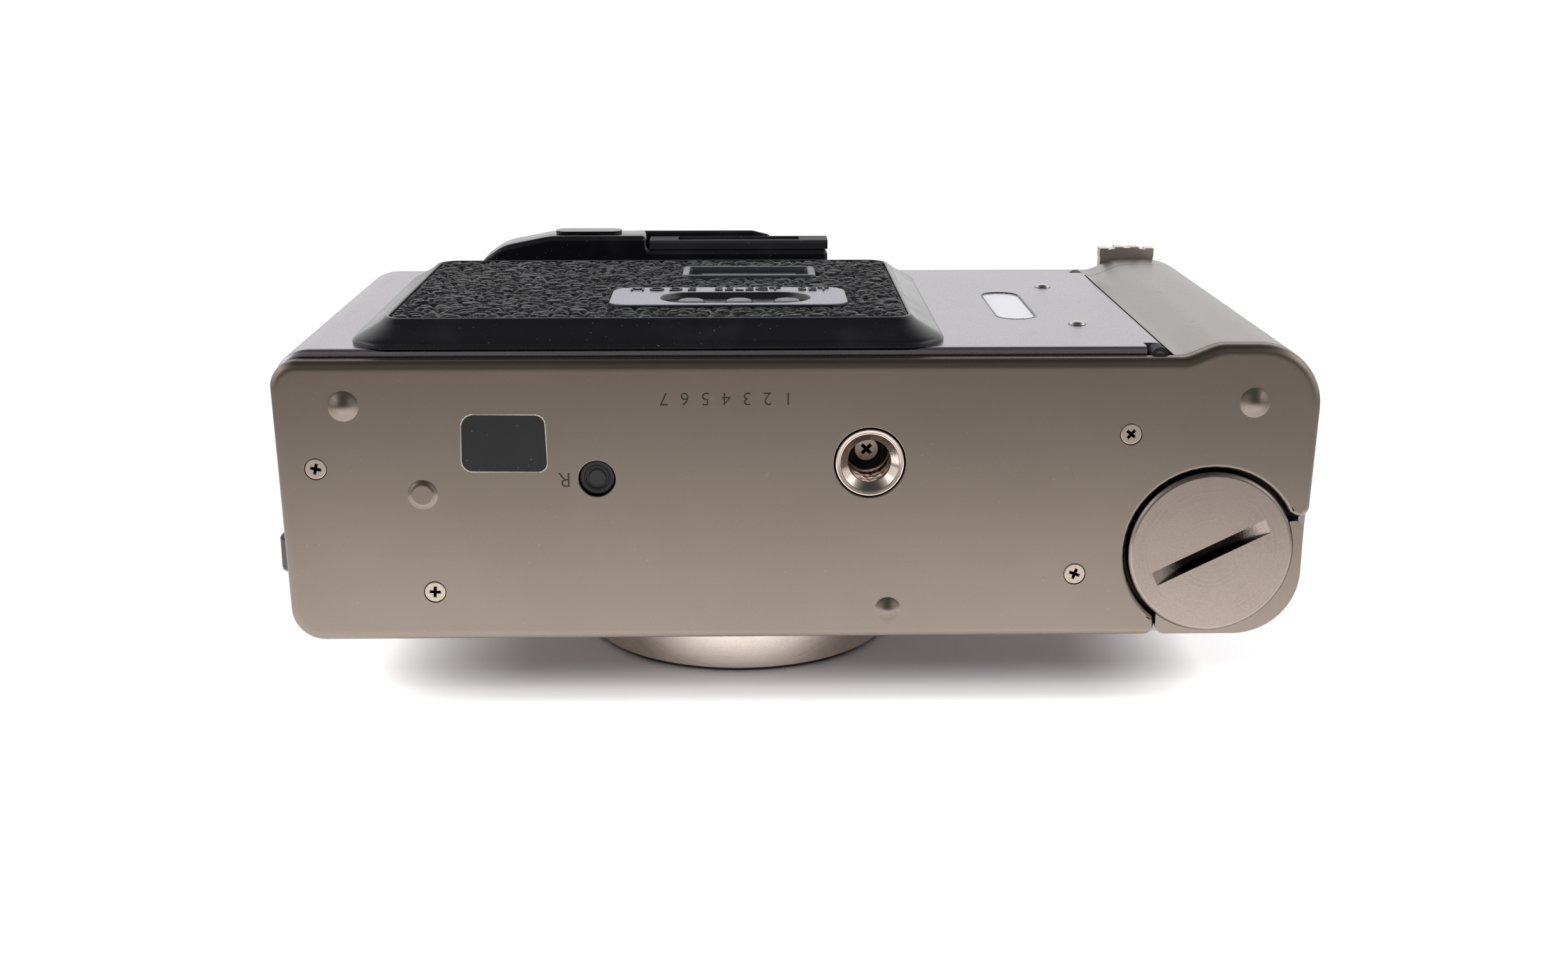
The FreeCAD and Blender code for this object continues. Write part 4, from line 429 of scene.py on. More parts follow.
# The door and the shell are lit copies of the plate's metal: painted paler and cooler for the light on them.
DOOR_LIT_FINISH = satin_metal("satin_door_lit", tint(184, 178, 184), 0.28, 0.008, 0.4)
SHELL_LIT_FINISH = satin_metal("satin_shell_lit", tint(170, 164, 162), 0.32, 0.01, 0.4, DENTS, WARM_GREY)
OWN_FINISH = {"back_door": DOOR_LIT_FINISH, "front_cover": SHELL_LIT_FINISH, "top_cover": SHELL_LIT_FINISH,
              # The selector ring is painted paler than the body's metal: a lit copy, for the light on its ribs.
              "selector_ring": plain_metal("ring_metal_brightened", tint(240, 224, 216), 0.3),
              "lens_mount": turned_metal("turned_mount", tint(232, 218, 208), 0.24,
                                         (LENS_X, 0.0, LENS_Z), 0.003)}
for node, thing in frame["nodes"].items():
    thing.data.materials.clear()
    thing.data.materials.append(OWN_FINISH.get(node, FINISHES[SLOT_OF[node]]))
print("finishes", len(FINISHES) + len(set(OWN_FINISH.values())))

# %% [markdown]
# The finer pieces are made of two kinds of surface: grids, where a profile is carried along a path
# or round an axis, and flat fills between closed outlines. A skin collects both, welds the edges
# that they share, turns the faces outward and keeps crisp edges crisp. It draws on a face of the
# body: the underside, where height runs upward, or the back, where height runs backward.

# %% Skins
WELD = 2e-6


def round_angles(count):
    """Evenly spaced angles, once round."""
    return np.linspace(0, 2 * math.pi, count, endpoint=False)


def joined(*parts):
    """Arrays of x, y and height, spread to one shape, as one array of points."""
    return np.stack(np.broadcast_arrays(*parts), -1)


def level(points, value):
    """The points with one more coordinate, which is the same for all."""
    return np.column_stack([points, np.full(len(points), value)])


def smoothstep(value, low, high):
    """A smooth rise from 0 to 1: t^2 (3 - 2t), where t = (value - low) / (high - low)."""
    t = np.clip((value - low) / (high - low), 0, 1)
    return t * t * (3 - 2 * t)


class Skin:
    """Grids and flat fills, in the drawing's millimetres, that become one mesh."""

    def __init__(self, face="under"):
        self.points, self.faces, self.curved, self.count = [], [], [], 0
        self.order = {"under": [0, 1, 2], "back": [0, 2, 1]}[face]
        self.stand()

    def stand(self, x=0.0, y=0.0, height=0.0, turn=0.0):
        """Where on the face the next grids go, and how far they are turned in degrees."""
        c, s = math.cos(math.radians(turn)), math.sin(math.radians(turn))
        self.turn, self.at = np.array([[c, -s, 0], [s, c, 0], [0, 0, 1]]), np.array([x, y, height])
        return self

    def add(self, points, faces, curved=True):
        """Points and faces where the skin stands. Flat faces keep one shade from edge to edge."""
        local = np.asarray(points, float).reshape(-1, 3) @ self.turn.T + self.at
        self.points.append(local[:, self.order])
        self.faces += (np.asarray(faces, int) + self.count).tolist()
        self.curved += [curved] * len(faces)
        self.count += len(local)

    def grid(self, points, closed=False):
        """Quads between neighbours in an array of rows and columns of points. A closed grid joins
        its last column to its first."""
        ids = np.arange(points.shape[0] * points.shape[1]).reshape(points.shape[:2])
        if closed:
            ids = np.concatenate([ids, ids[:, :1]], 1)
        quads = np.stack([ids[:-1, :-1], ids[:-1, 1:], ids[1:, 1:], ids[1:, :-1]], -1)
        self.add(points, quads.reshape(-1, 4))

    def turned(self, profile, count=96):
        """A profile of (radius, height) turned about the place where the skin stands:
        x = r cos a, y = r sin a."""
        radius, height = np.array(profile, float).T[:, :, None]
        angle = round_angles(count)
        self.grid(joined(radius * np.cos(angle), radius * np.sin(angle), height), True)

    def band(self, path, profile, share=None):
        """A profile of (inset, height) carried along a closed path: p + n * inset. Share scales the
        inset from point to point."""
        points, normals = path
        inset, height = np.array(profile, float).T[:, :, None]
        reach = inset * (1.0 if share is None else share)
        flat = points + normals * reach[..., None]
        self.grid(joined(flat[..., 0], flat[..., 1], height), True)

    def fill(self, loops, height=0.0, edges=()):
        """Flat triangles between closed outlines, given as loops or as loose edges: a triangle stays
        where a ray from its middle crosses the outlines an odd number of times."""
        ends = np.concatenate([np.stack([loop, np.roll(loop, -1, 0)], 1) for loop in loops] + list(edges))
        pairs = np.arange(2 * len(ends)).reshape(-1, 2).tolist()
        made = delaunay_2d_cdt([Vector(p) for p in ends.reshape(-1, 2)], pairs, [], 0, 1e-5)
        spots, triangles = np.array(made[0]), np.array(made[2])
        middle = spots[triangles].mean(1)[:, None]
        (ax, ay), (bx, by) = ends[:, 0].T, ends[:, 1].T
        spans = (ay > middle[..., 1]) != (by > middle[..., 1])
        rise = np.where(by == ay, 1.0, by - ay)
        crossing = ax + (middle[..., 1] - ay) * (bx - ax) / rise
        inside = (spans & (crossing > middle[..., 0])).sum(1) % 2 == 1
        self.add(level(spots, height), triangles[inside], False)

    def slab(self, path, profile):
        """A band with flat fills at its two ends."""
        self.band(path, profile)
        for depth, height in (profile[0], profile[-1]):
            self.fill([inset(path, depth)], height)

    def letters(self, words, low, high, caps):
        """Walls along the letters' outline from low to high, and the letters' own faces at some
        heights. Gives the outline's edges."""
        points, faces, rim = words
        ends, count = points[rim], 2 * len(rim)
        first = np.arange(0, count, 2)
        walls = np.concatenate([level(ends.reshape(-1, 2), z) for z in (low, high)])
        self.add(walls, np.stack([first, first + 1, first + 1 + count, first + count], 1))
        for z in caps:
            self.add(level(points, z), faces, False)
        return ends

    def mesh(self, name):
        """Everything so far as a mesh, in the metres of the model."""
        mesh = bpy.data.meshes.new(name)
        mesh.from_pydata((np.concatenate(self.points) * MM + ORIGIN).tolist(), [], self.faces)
        mesh.polygons.foreach_set("use_smooth", self.curved)
        return mesh

    def piece(self, name, finish, node, sharp=32.0, extra=False):
        """The welded mesh as an object on a node's body. It takes the node's place, unless it is
        an extra."""
        mesh = self.mesh(name)
        work = bmesh.new()
        work.from_mesh(mesh)
        bmesh.ops.remove_doubles(work, verts=work.verts, dist=WELD)
        bmesh.ops.delete(work, geom=[v for v in work.verts if not v.link_faces], context="VERTS")
        bmesh.ops.recalc_face_normals(work, faces=work.faces)
        work.to_mesh(mesh)
        work.free()
        curved = np.zeros(len(mesh.polygons), bool)
        mesh.polygons.foreach_get("use_smooth", curved)
        mesh.set_sharp_from_angle(angle=math.radians(sharp))
        mesh.polygons.foreach_set("use_smooth", curved)
        thing = placed(name, mesh)
        mesh.materials.append(finish)
        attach(thing, BODY_OF[node])
        if not extra:
            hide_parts(node)
        print(name, len(mesh.vertices), "points")
        return thing


def rounded(corners, step=8.0):
    """A closed path with rounded corners, each given as (x, y, radius) in anticlockwise order. The
    arc in a corner touches both of its sides. Gives the points and their normals, which face inward."""
    spots = np.array([corner[:2] for corner in corners], float)
    points, normals = [], []
    for (x, y, radius), before, after in zip(corners, np.roll(spots, 1, 0), np.roll(spots, -1, 0)):
        here = np.array([x, y])
        a, b = (side / np.linalg.norm(side) for side in (before - here, after - here))
        half = math.acos(np.clip(a @ b, -1, 1)) / 2
        centre = here + (a + b) / np.linalg.norm(a + b) * radius / math.sin(half)
        begin, end = (here + side * radius / math.tan(half) - centre for side in (a, b))
        first = math.atan2(begin[1], begin[0])
        sweep = (math.atan2(end[1], end[0]) - first + math.pi) % (2 * math.pi) - math.pi
        angle = first + sweep * np.linspace(0, 1, max(2, math.ceil(abs(math.degrees(sweep)) / step) + 1))
        out = np.stack([np.cos(angle), np.sin(angle)], 1)
        points.append(centre + out * radius)
        normals.append(-out * np.sign(sweep))
    points, normals = np.concatenate(points), np.concatenate(normals)
    apart = np.linalg.norm(points - np.roll(points, 1, 0), axis=1) > 1e-3
    return points[apart], normals[apart]


def box_path(left, right, low, high, radius, step=8.0):
    """A rounded rectangle."""
    corners = ((left, low), (right, low), (right, high), (left, high))
    return rounded([corner + (radius,) for corner in corners], step)


def circle_path(x, y, radius, count=64):
    """A circle with normals that face outward, for the edge of a hole."""
    angle = round_angles(count)
    out = np.stack([np.cos(angle), np.sin(angle)], 1)
    return out * radius + (x, y), out


def inset(path, depth):
    """The outline at some depth inside a path."""
    return path[0] + path[1] * depth


def quarter(size, count=7):
    """A quarter round from a wall to a flat: inset s(1 - cos t), height s(1 - sin t), for t from 0
    to a right angle."""
    return [(size * (1 - math.cos(a)), size * (1 - math.sin(a))) for a in np.linspace(0, math.pi / 2, count)]


print("points round a box with rounded corners", len(box_path(-10, 10, -5, 5, 2.0)[0]))

# %% [markdown]
# Numbers and letters come from Blender's own font. The outline of a filled letter is the set of
# edges that only one face uses, and that outline is enough to cut the letter into a plate: walls go
# down from the edges, and the letter's own faces become the floor.


# %% Lettering
def lettering(words, height, spread=1.0, thin=0.0):
    """Points, faces and outline edges of a line of text that is centred on the origin."""
    curve = bpy.data.curves.new("words", "FONT")
    curve.body, curve.size, curve.space_character, curve.offset = words, height / 0.73, spread, -thin
    curve.align_x, curve.align_y, curve.resolution_u = "CENTER", "CENTER", 3
    thing = bpy.data.objects.new("words", curve)
    mesh = bpy.data.meshes.new_from_object(thing)
    bpy.data.objects.remove(thing)
    work = bmesh.new()
    work.from_mesh(mesh)
    bmesh.ops.remove_doubles(work, verts=work.verts, dist=1e-5)
    bmesh.ops.triangulate(work, faces=work.faces)
    rim = [[v.index for v in edge.verts] for edge in work.edges if len(edge.link_faces) == 1]
    faces = [[v.index for v in face.verts] for face in work.faces]
    points = np.array([v.co[:2] for v in work.verts])
    work.free()
    return points, np.array(faces), np.array(rim)


print("points in the letter R", len(lettering("R", 1.9)[0]))

# %% [markdown]
# The bottom plate is pressed from sheet, so its edge rolls over in a quarter round. Its outline is a
# chain of straight sides and arcs, with a wide bite round the battery cap, where the roll is
# tighter. The feet are domes pushed out of the sheet: their height is (1 - (r/R)^2)^1.7, which
# leaves the flat with no crease. Holes, a serial number and the letter R are cut into the flat.

# %% Bottom plate
PLATE_RISE, EDGE, TIGHT, FLAT_RING, MOAT = 1.9, 1.15, 0.48, 0.25, 10.35
MOAT_ENDS = (152.4, 50.7, -51.0)
FEET = [(53.5, 11.7, 2.0), (-53.8, 11.7, 2.0), (-10.7, -13.9, 1.75)]
STUD, STUD_FLAT, STUD_ROUND, STUD_RISE, ROOT = (44.75, 0.9), 1.2, 1.95, 0.37, 0.04
SCREWS = [(57.2, 4.1, 12.0), (43.9, -11.3, 4.0), (-33.3, -9.5, 20.0), (-39.3, 7.9, 40.0)]
SOCKET, REWIND, ENGRAVED = (-8.3, 4.55), (24.08, 2.76), 0.2
SOCKET_HOLE, REWIND_HOLE, SCREW_HOLE = (4.28, 0.12), (2.2, 0.1), (1.33, 0.05)
ROLL_FULL, ROLL_BLEND = 14.0, 2.5


def moat_corner(first, last):
    """Where the tangents of the moat's circle at two of its angles meet."""
    middle, reach = math.radians((first + last) / 2), MOAT / math.cos(math.radians(first - last) / 2)
    return CAP_X + reach * math.cos(middle), CAP_Y + reach * math.sin(middle), MOAT


def hole(skin, x, y, radius, soft):
    """A hole with a small round lip. Gives its outlines on the flat and on the inner side."""
    skin.band(circle_path(x, y, radius), quarter(soft, 4)[::-1] + [(0.0, PLATE_RISE)])
    return circle_path(x, y, radius + soft)[0], circle_path(x, y, radius)[0]


def engraving(words, height, spread, thin, place):
    """A line of text, mirrored for the underside and moved to its place on the plate."""
    points, faces, rim = lettering(words, height, spread, thin)
    return points * (1, -1) + place, faces, rim


plate_path = rounded([
    (61.4, -BODY_FRONT, 4.0), (BODY_HALF, PLATE_BACK, 3.3), (-45.6, PLATE_BACK, 2.4), (-49.4, GRIP_BACK, 5.0),
    (-BODY_HALF, GRIP_BACK, 7.6), (-61.51, -2.6, 1.3), (-59.157, -2.6, 1.9), moat_corner(*MOAT_ENDS[:2]),
    moat_corner(*MOAT_ENDS[1:]), (-43.4, -15.066, 1.7), (-43.4, -BODY_FRONT, 1.2)])
from_cap = np.linalg.norm(plate_path[0] - (CAP_X, CAP_Y), axis=1)
roll_share = 1.0 - TIGHT * np.clip((ROLL_FULL - from_cap) / ROLL_BLEND, 0, 1)
plate = Skin()
plate.band(plate_path, [(0.0, PLATE_RISE)] + quarter(EDGE, 9) + [(EDGE + FLAT_RING, 0.0)], roll_share)
holes = [hole(plate, *SOCKET, *SOCKET_HOLE), hole(plate, *REWIND, *REWIND_HOLE)]
holes += [hole(plate, x, y, *SCREW_HOLE) for x, y, _ in SCREWS]
serial = engraving("1234567", 1.65, 2.15, 0.02, (8.7, 12.5))
mark = engraving("R", 1.9, 1.0, 0.03, (27.9, 2.75))
cuts = [plate.letters(words, 0.0, ENGRAVED, [ENGRAVED]) for words in (serial, mark)]
rim = plate_path[0] + plate_path[1] * ((EDGE + FLAT_RING) * roll_share)[:, None]
plate.fill([rim] + [low for low, _ in holes], 0.0, cuts)
plate.fill([plate_path[0]] + [high for _, high in holes], PLATE_RISE)
dome = np.linspace(0, 1, 17)
for x, y, wide in FEET:
    rise = (FOOT * wide / 2 + ROOT) * (1 - dome * dome) ** 1.7
    plate.stand(x, y).turned(list(zip(wide * dome, ROOT - rise)) + [(0.0, ROOT)])
rise = STUD_RISE * (1 - smoothstep(dome * STUD_ROUND, STUD_FLAT, STUD_ROUND))
plate.stand(*STUD).turned(list(zip(dome * STUD_ROUND, ROOT - rise)) + [(0.0, ROOT)])
plate.piece("bottom_plate_skin", FINISHES["titanium"], "bottom_plate")
# A dark sheet inside the engraved letters: painted shade in their grooves.
paint = Skin()
for words in (serial, mark):
    paint.letters(words, 0.1, 0.19, (0.1, 0.19))
groove_shade_finish = moulding("engraving_dark", tint(44, 38, 34), 0.5)
paint.piece("engraved_groove_shade", groove_shade_finish, "bottom_plate", extra=True)

# %% [markdown]
# A cross-head screw is a turned head with a tapered cross sunk into it. The cross is one outline of
# twelve corners, carried down while it shrinks to a point. Painted shade darkens whatever is deep.


# %% Screws
# Each is the radius of head and shank, the height of the head and the whole length.
PLATE_SCREW, DEEP_SCREW = (1.28, 0.75, 0.58, 4.88), (1.5, 0.9, 0.9, 4.5)
SCREW_SUNK, DEEP_FACE = 0.02, 6.5


def cross_outline(reach, half):
    """The twelve corners of a cross: the three corners of one arm, turned by quarters."""
    shapes = [np.array([(half, reach), (-half, reach), (-half, half)])]
    for _ in range(3):
        shapes.append(shapes[-1] @ np.array([[0, 1], [-1, 0]]))
    return np.concatenate(shapes)


def screw(skin, radius, shank, head, length):
    """A cross-head screw that stands on the skin's place, with its head's face at height 0."""
    edge, count = 0.13, 48
    face, cross = radius - edge - 0.02, cross_outline(radius * 0.54, radius * 0.15)
    rows = [(1.0, 0.0), (0.86, 0.12), (0.62, 0.5), (0.0, 0.66)]
    skin.grid(np.stack([level(cross * share, depth) for share, depth in rows]), True)
    skin.fill([circle_path(0, 0, face, count)[0], cross])
    corner = [(radius - e, h) for e, h in quarter(edge, 5)[::-1]]
    skin.turned([(face, 0.0)] + corner + [(radius, head), (shank, head), (shank, length), (0.0, length)], count)


screws = Skin()
for x, y, turn in SCREWS:
    screw(screws.stand(x, y, SCREW_SUNK, turn), *PLATE_SCREW)
# The screws are painted darker in their cross recesses: painted shade.
screw_metal = plain_metal("screw_nickel", tint(184, 172, 158), 0.26, 0.004, painted_shade_below=0.08)
screws.piece("plate_screws", screw_metal, "bottom_screws")
deep = Skin().stand(*SOCKET, DEEP_FACE, 45.0)
screw(deep, *DEEP_SCREW)
# The deep screw is painted darker in its cross: painted shade.
deep_metal = plain_metal("deep_screw_metal", tint(196, 178, 166), 0.34, 0.004, DEEP_FACE + 0.06)
deep.piece("deep_screw", deep_metal, "bottom_screws", extra=True)

# %% [markdown]
# The tripod bush is turned: a narrow flat lip, a wide polished countersink and a thread. The thread
# is a grid of angle and depth whose radius follows a triangle wave of depth / pitch - turns.

# %% Tripod socket
BORE, PITCH, THREAD, BUSH_ROUND, BUSH_END = 2.55, 1.27, 0.36, 4.1, 7.4
THREAD_LOW, THREAD_HIGH = 1.0, 6.2


def thread_grid(low, high, count=96):
    """The bore from low to high: r = bore + d * |2 frac(z / pitch - a / 2 pi) - 1|, which fades out
    at both ends."""
    angle = round_angles(count)
    z = np.linspace(low, high, 61)[:, None]
    wave = np.abs(2 * ((z / PITCH - angle / (2 * math.pi)) % 1.0) - 1)
    fade = np.clip(np.minimum(z - low, high - z) / 0.35, 0, 1)
    radius = BORE + THREAD * wave * fade
    return joined(radius * np.cos(angle), radius * np.sin(angle), z)


socket = Skin().stand(*SOCKET)
socket.turned([(BORE, THREAD_LOW), (BORE + 0.06, 0.86), (3.42, 0.14), (3.5, 0.05), (3.6, 0.03), (3.64, 0.07),
               (3.7, 0.03), (3.95, 0.0), (4.05, 0.05), (BUSH_ROUND, 0.16), (BUSH_ROUND, BUSH_END),
               (2.85, BUSH_END), (2.85, THREAD_HIGH), (BORE, THREAD_HIGH)])
socket.grid(thread_grid(THREAD_LOW, THREAD_HIGH), True)
socket_metal = turned_metal("turned_bush", tint(222, 206, 196), 0.13, SOCKET + (0.0,), 0.01)
socket.piece("tripod_bush", socket_metal, "tripod_socket", sharp=24)

# %% [markdown]
# The battery cap is a turned disc with a coin slot. A slitting wheel cut the slot, so its floor is
# part of a circle that comes up to the face at both ends.

# %% Battery cap
CAP_FACE, CAP_RIM, COIN_HALF, COIN_WIDE, WHEEL, COIN_DEEP, COIN_TURN = -0.25, 9.5, 7.5, 0.9, 21.5, 1.35, 153.5
cap = Skin().stand(CAP_X, CAP_Y, CAP_FACE)
cap.turned([(CAP_RIM, 0.0), (9.58, 0.01), (9.66, 0.05), (9.92, 0.3), (9.98, 0.4), (10.0, 0.55), (10.0, 1.85),
            (9.0, 1.9), (9.0, 5.0), (0.0, 5.0)], 128)
cap.stand(CAP_X, CAP_Y, CAP_FACE, COIN_TURN)
along = COIN_HALF * np.sin(np.linspace(-math.pi / 2, math.pi / 2, 33))
floor = np.sqrt(WHEEL ** 2 - along ** 2) - (WHEEL - COIN_DEEP)
across = np.array([-1.0, -0.94, 0.94, 1.0])[:, None] * COIN_WIDE
sunk = np.array([0.0, 1.0, 1.0, 0.0])[:, None] * np.maximum(floor, 0.0)
cap.grid(joined(along, across, sunk))
slot_rim = np.concatenate([level(along, -COIN_WIDE), level(along[::-1], COIN_WIDE)])
# The face's rim is turned back, so that its points meet those of the turned side.
c, s = math.cos(math.radians(-COIN_TURN)), math.sin(math.radians(-COIN_TURN))
cap.fill([circle_path(0, 0, CAP_RIM, 128)[0] @ np.array([[c, s], [-s, c]]), slot_rim])
cap.piece("battery_cap_skin", FINISHES["cap_metal"], "battery_cap", sharp=24)

# %% [markdown]
# The rewind button sits a little under the plate, so that only a pen's tip presses it. It is one
# turned profile with a ring groove. Beside it lies a bare black label: a thin slab whose outline
# wavers slightly, on a paler one that shows as its worn edge.

# %% Rewind button and bare label
button = Skin().stand(*REWIND)
button.turned([(0.0, 0.46), (0.92, 0.46), (1.0, 0.52), (1.04, 0.72), (1.3, 0.72), (1.36, 0.5), (1.44, 0.44),
               (1.52, 0.5), (1.58, 0.56), (1.95, 0.56), (2.05, 0.66), (2.05, PLATE_RISE), (1.2, PLATE_RISE),
               (1.2, 5.5), (0.0, 5.5)])
button.piece("rewind_button_skin", FINISHES["black_matte"], "rewind_button")


def label(name, grow, high, finish):
    """A thin slab in the label's place, grown by some width. The wider one's outline wavers."""
    points, normals = rounded([(29.9 - grow, 3.65 - grow, 1.1), (40.0 + grow, 3.75 - grow, 1.3),
                               (39.8 + grow, 10.6 + grow, 1.5), (30.1 - grow, 10.5 + grow, 1.2)], 6.0)
    waver = 0.5 * grow * np.sin(np.arange(len(points)) * 1.7)
    skin = Skin()
    skin.slab((points + normals * waver[:, None], normals), [(0.0, 0.02), (0.0, high)])
    skin.piece(name, finish, "bottom_plate", extra=True)


label("label_edge", 0.1, -0.02, moulding("worn_paper", tint(150, 143, 136), 0.6, 0.1, 0.03, 3.0))
label("bare_label", 0.0, -0.05, moulding("black_film", tint(10, 10, 11), 0.5, 0.14, 0.012, 2.0))

# %% [markdown]
# The back carries a glossy black frame with rounded, sloping sides. Its foot is a wide rounded
# rectangle and its rim a smaller one with tighter corners, and each row between blends the two.

# %% Frame of the date back
BASE_BOX, BASE_ROUND, RIM_ROUND = (-17.5, 53.4, 2.3, 54.5), 5.2, 2.4
SLOPE, BACK_FACE, BED, RIM_TOP = 4.2, 17.95, 20.4, 20.95

foot_path = box_path(*BASE_BOX, BASE_ROUND, 6.0)
left, right, low, high = BASE_BOX
rim_path = box_path(left + SLOPE, right - SLOPE, low + SLOPE, high - SLOPE, RIM_ROUND, 6.0)
slope_rows = [(0.0, BACK_FACE), (0.0, 18.3), (0.08, 18.52), (0.28, 18.72), (0.6, 18.92), (1.3, 19.3),
              (2.0, 19.69), (2.7, 20.08), (3.1, 20.32), (3.4, 20.55), (3.62, 20.77), (3.82, 20.91),
              (4.0, RIM_TOP), (4.1, 20.92), (4.16, 20.84), (SLOPE, 20.7), (SLOPE, BED)]
# A row is depth / slope of the way from the foot's outline to the rim's.
across = rim_path[0] - foot_path[0]
date_skin = Skin("back")
date_skin.grid(np.stack([level(foot_path[0] + across * (d / SLOPE), h) for d, h in slope_rows]), True)
date_skin.fill([rim_path[0]], BED)
date_skin.fill([foot_path[0]], BACK_FACE)
gloss = moulding("polished_black", tint(9, 9, 11), 0.13, 0.08, 0.002, 3.0, dusty=0.15)
date_skin.piece("date_frame_skin", gloss, "date_frame", sharp=40)

# %% [markdown]
# The leather cloth is a height field. Its pebbles are cells about scattered points, and a crease
# lies where the two nearest points are equally far. The points come from a seeded jitter, so that
# the same hide is made each time.


# %% Leather
def pebbles(x, y, pitch, seed, crease, rise):
    """Pebbles between creases: h = rise * smoothstep(F2 - F1). F1 and F2 are the distances to the
    nearest and second nearest of one scattered point in each square of a pitch, found by comparing
    the nine squares round each place."""
    jitter = np.random.default_rng(seed).random((400, 400, 2))
    gx, gy = x / pitch, y / pitch
    ix, iy = np.floor(gx).astype(int), np.floor(gy).astype(int)
    away = []
    for dx in (-1, 0, 1):
        for dy in (-1, 0, 1):
            spot = jitter[(ix + dx) % 400, (iy + dy) % 400]
            away.append(np.hypot(ix + dx + spot[..., 0] - gx, iy + dy + spot[..., 1] - gy))
    near, second = np.sort(np.stack(away), 0)[:2] * pitch
    return smoothstep(second - near, 0.0, crease) * rise


def inside_distance(x, y, left, right, low, high, radius):
    """How far inside a rounded rectangle a place is."""
    dx = np.abs(x - (left + right) / 2) - (right - left) / 2 + radius
    dy = np.abs(y - (low + high) / 2) - (high - low) / 2 + radius
    return radius - np.hypot(np.maximum(dx, 0), np.maximum(dy, 0)) - np.minimum(np.maximum(dx, dy), 0)


(hide_left, _, hide_low), (hide_right, _, hide_high) = drawn("leather_insert")
HIDE_ROUND, HIDE_TOP, HIDE_BASE, HIDE_THIN, DETAIL = 2.3, 20.54, 20.45, 0.004, 0.24
PAD_BOX, BEZEL_BOX = (-6.4, 23.3, 13.3, 25.9), (-3.2, 14.9, 35.0, 43.4)
x, y = np.meshgrid(np.arange(hide_left, hide_right + DETAIL, DETAIL).clip(hide_left, hide_right),
                   np.arange(hide_low, hide_high + DETAIL, DETAIL).clip(hide_low, hide_high), indexing="ij")
# Grid points outside the rounded corners move in to the corner's arc.
middle = np.array([(hide_left + hide_right) / 2, (hide_low + hide_high) / 2])
away = np.stack([x, y], -1) - middle
beyond = np.maximum(np.abs(away) - (hide_right, hide_high) + middle + HIDE_ROUND, 0)
pull = HIDE_ROUND / np.maximum(np.linalg.norm(beyond, axis=-1, keepdims=True), HIDE_ROUND)
x, y = np.moveaxis(middle + away - np.sign(away) * beyond * (1 - pull), -1, 0)
warp_x = x + 0.5 * np.sin(y * 1.1) + 0.3 * np.sin(x * 0.9 + y * 0.4)
warp_y = y * 1.35 + 0.5 * np.sin(x * 0.8) + 0.25 * np.sin(y * 2.3 + x)
relief = (pebbles(warp_x * 0.72, warp_y, 1.55, 5, 0.6, 0.4)
          + pebbles(warp_x + 7, warp_y + 3, 0.55, 9, 0.25, 0.06))
edge = inside_distance(x, y, hide_left, hide_right, hide_low, hide_high, HIDE_ROUND)
under = np.maximum(smoothstep(inside_distance(x, y, *PAD_BOX, 2.6), 0.1, 0.5),
                   smoothstep(inside_distance(x, y, *BEZEL_BOX, 1.4), 0.1, 0.5))
height = HIDE_TOP + relief - 0.35 * (1 - smoothstep(edge, 0.0, 0.55))
height = np.maximum(height * (1 - under) + (HIDE_BASE + HIDE_THIN) * under, HIDE_BASE + HIDE_THIN)
height[[0, -1]] = height[:, [0, -1]] = HIDE_BASE
hide = Skin("back")
hide.grid(joined(x, y, height))
hide.grid(joined(x, y, HIDE_BASE)[:, ::-1])
hide.piece("leather_hide", FINISHES["leather"], "leather_insert", sharp=80)

# %% [markdown]
# The button pad is a thin grey moulding with an oval well for its three keys and raised words. The
# words are generic control names. Their letters are drawn mirrored here, because this face is seen
# from behind, where +X points to the left.

# %% Button pad
PAD_TOP, PAD_LOW, PAD_ROUND = 21.25, 20.46, 2.6
WELL_BOX, WELL_ROUND, WELL_FLOOR, WELL_LIP, WELL_SLOPE = (-1.9, 17.1, 14.4, 22.5), 3.95, 20.52, -0.15, 0.35
KEYS = {"mode_key": 13.2, "select_key": 7.15, "set_key": 1.1}
KEY_HEIGHT, KEY_ROUND, KEY_HOLE, KEY_LOW = 18.4, 1.65, 1.8, 19.0
WORDS = {"MODE": (16.9, 1.3), "SELECT": (6.05, 1.02), "SET": (-2.4, 1.02)}
WORDS_HEIGHT, LETTER_TALL, LETTER_RISE = 23.7, 1.9, 0.18

pad_path, well_path = box_path(*PAD_BOX, PAD_ROUND, 6.0), box_path(*WELL_BOX, WELL_ROUND, 6.0)
pad = Skin("back")
pad.band(pad_path, [(0.0, PAD_LOW), (0.0, 21.08), (0.04, 21.17), (0.12, 21.23), (0.25, PAD_TOP),
                    (0.5, PAD_TOP)])
pad.band(well_path, [(WELL_LIP, PAD_TOP), (0.0, 21.22), (0.08, 21.12), (WELL_SLOPE, WELL_FLOOR)])
key_holes = [circle_path(x, KEY_HEIGHT, KEY_HOLE, 48) for x in KEYS.values()]
for path in key_holes:
    pad.band(path, [(0.0, WELL_FLOOR), (0.0, PAD_LOW)])
pad.fill([inset(pad_path, 0.5), inset(well_path, WELL_LIP)], PAD_TOP)
pad.fill([inset(well_path, WELL_SLOPE)] + [path[0] for path in key_holes], WELL_FLOOR)
pad.fill([pad_path[0]] + [path[0] for path in key_holes], PAD_LOW)


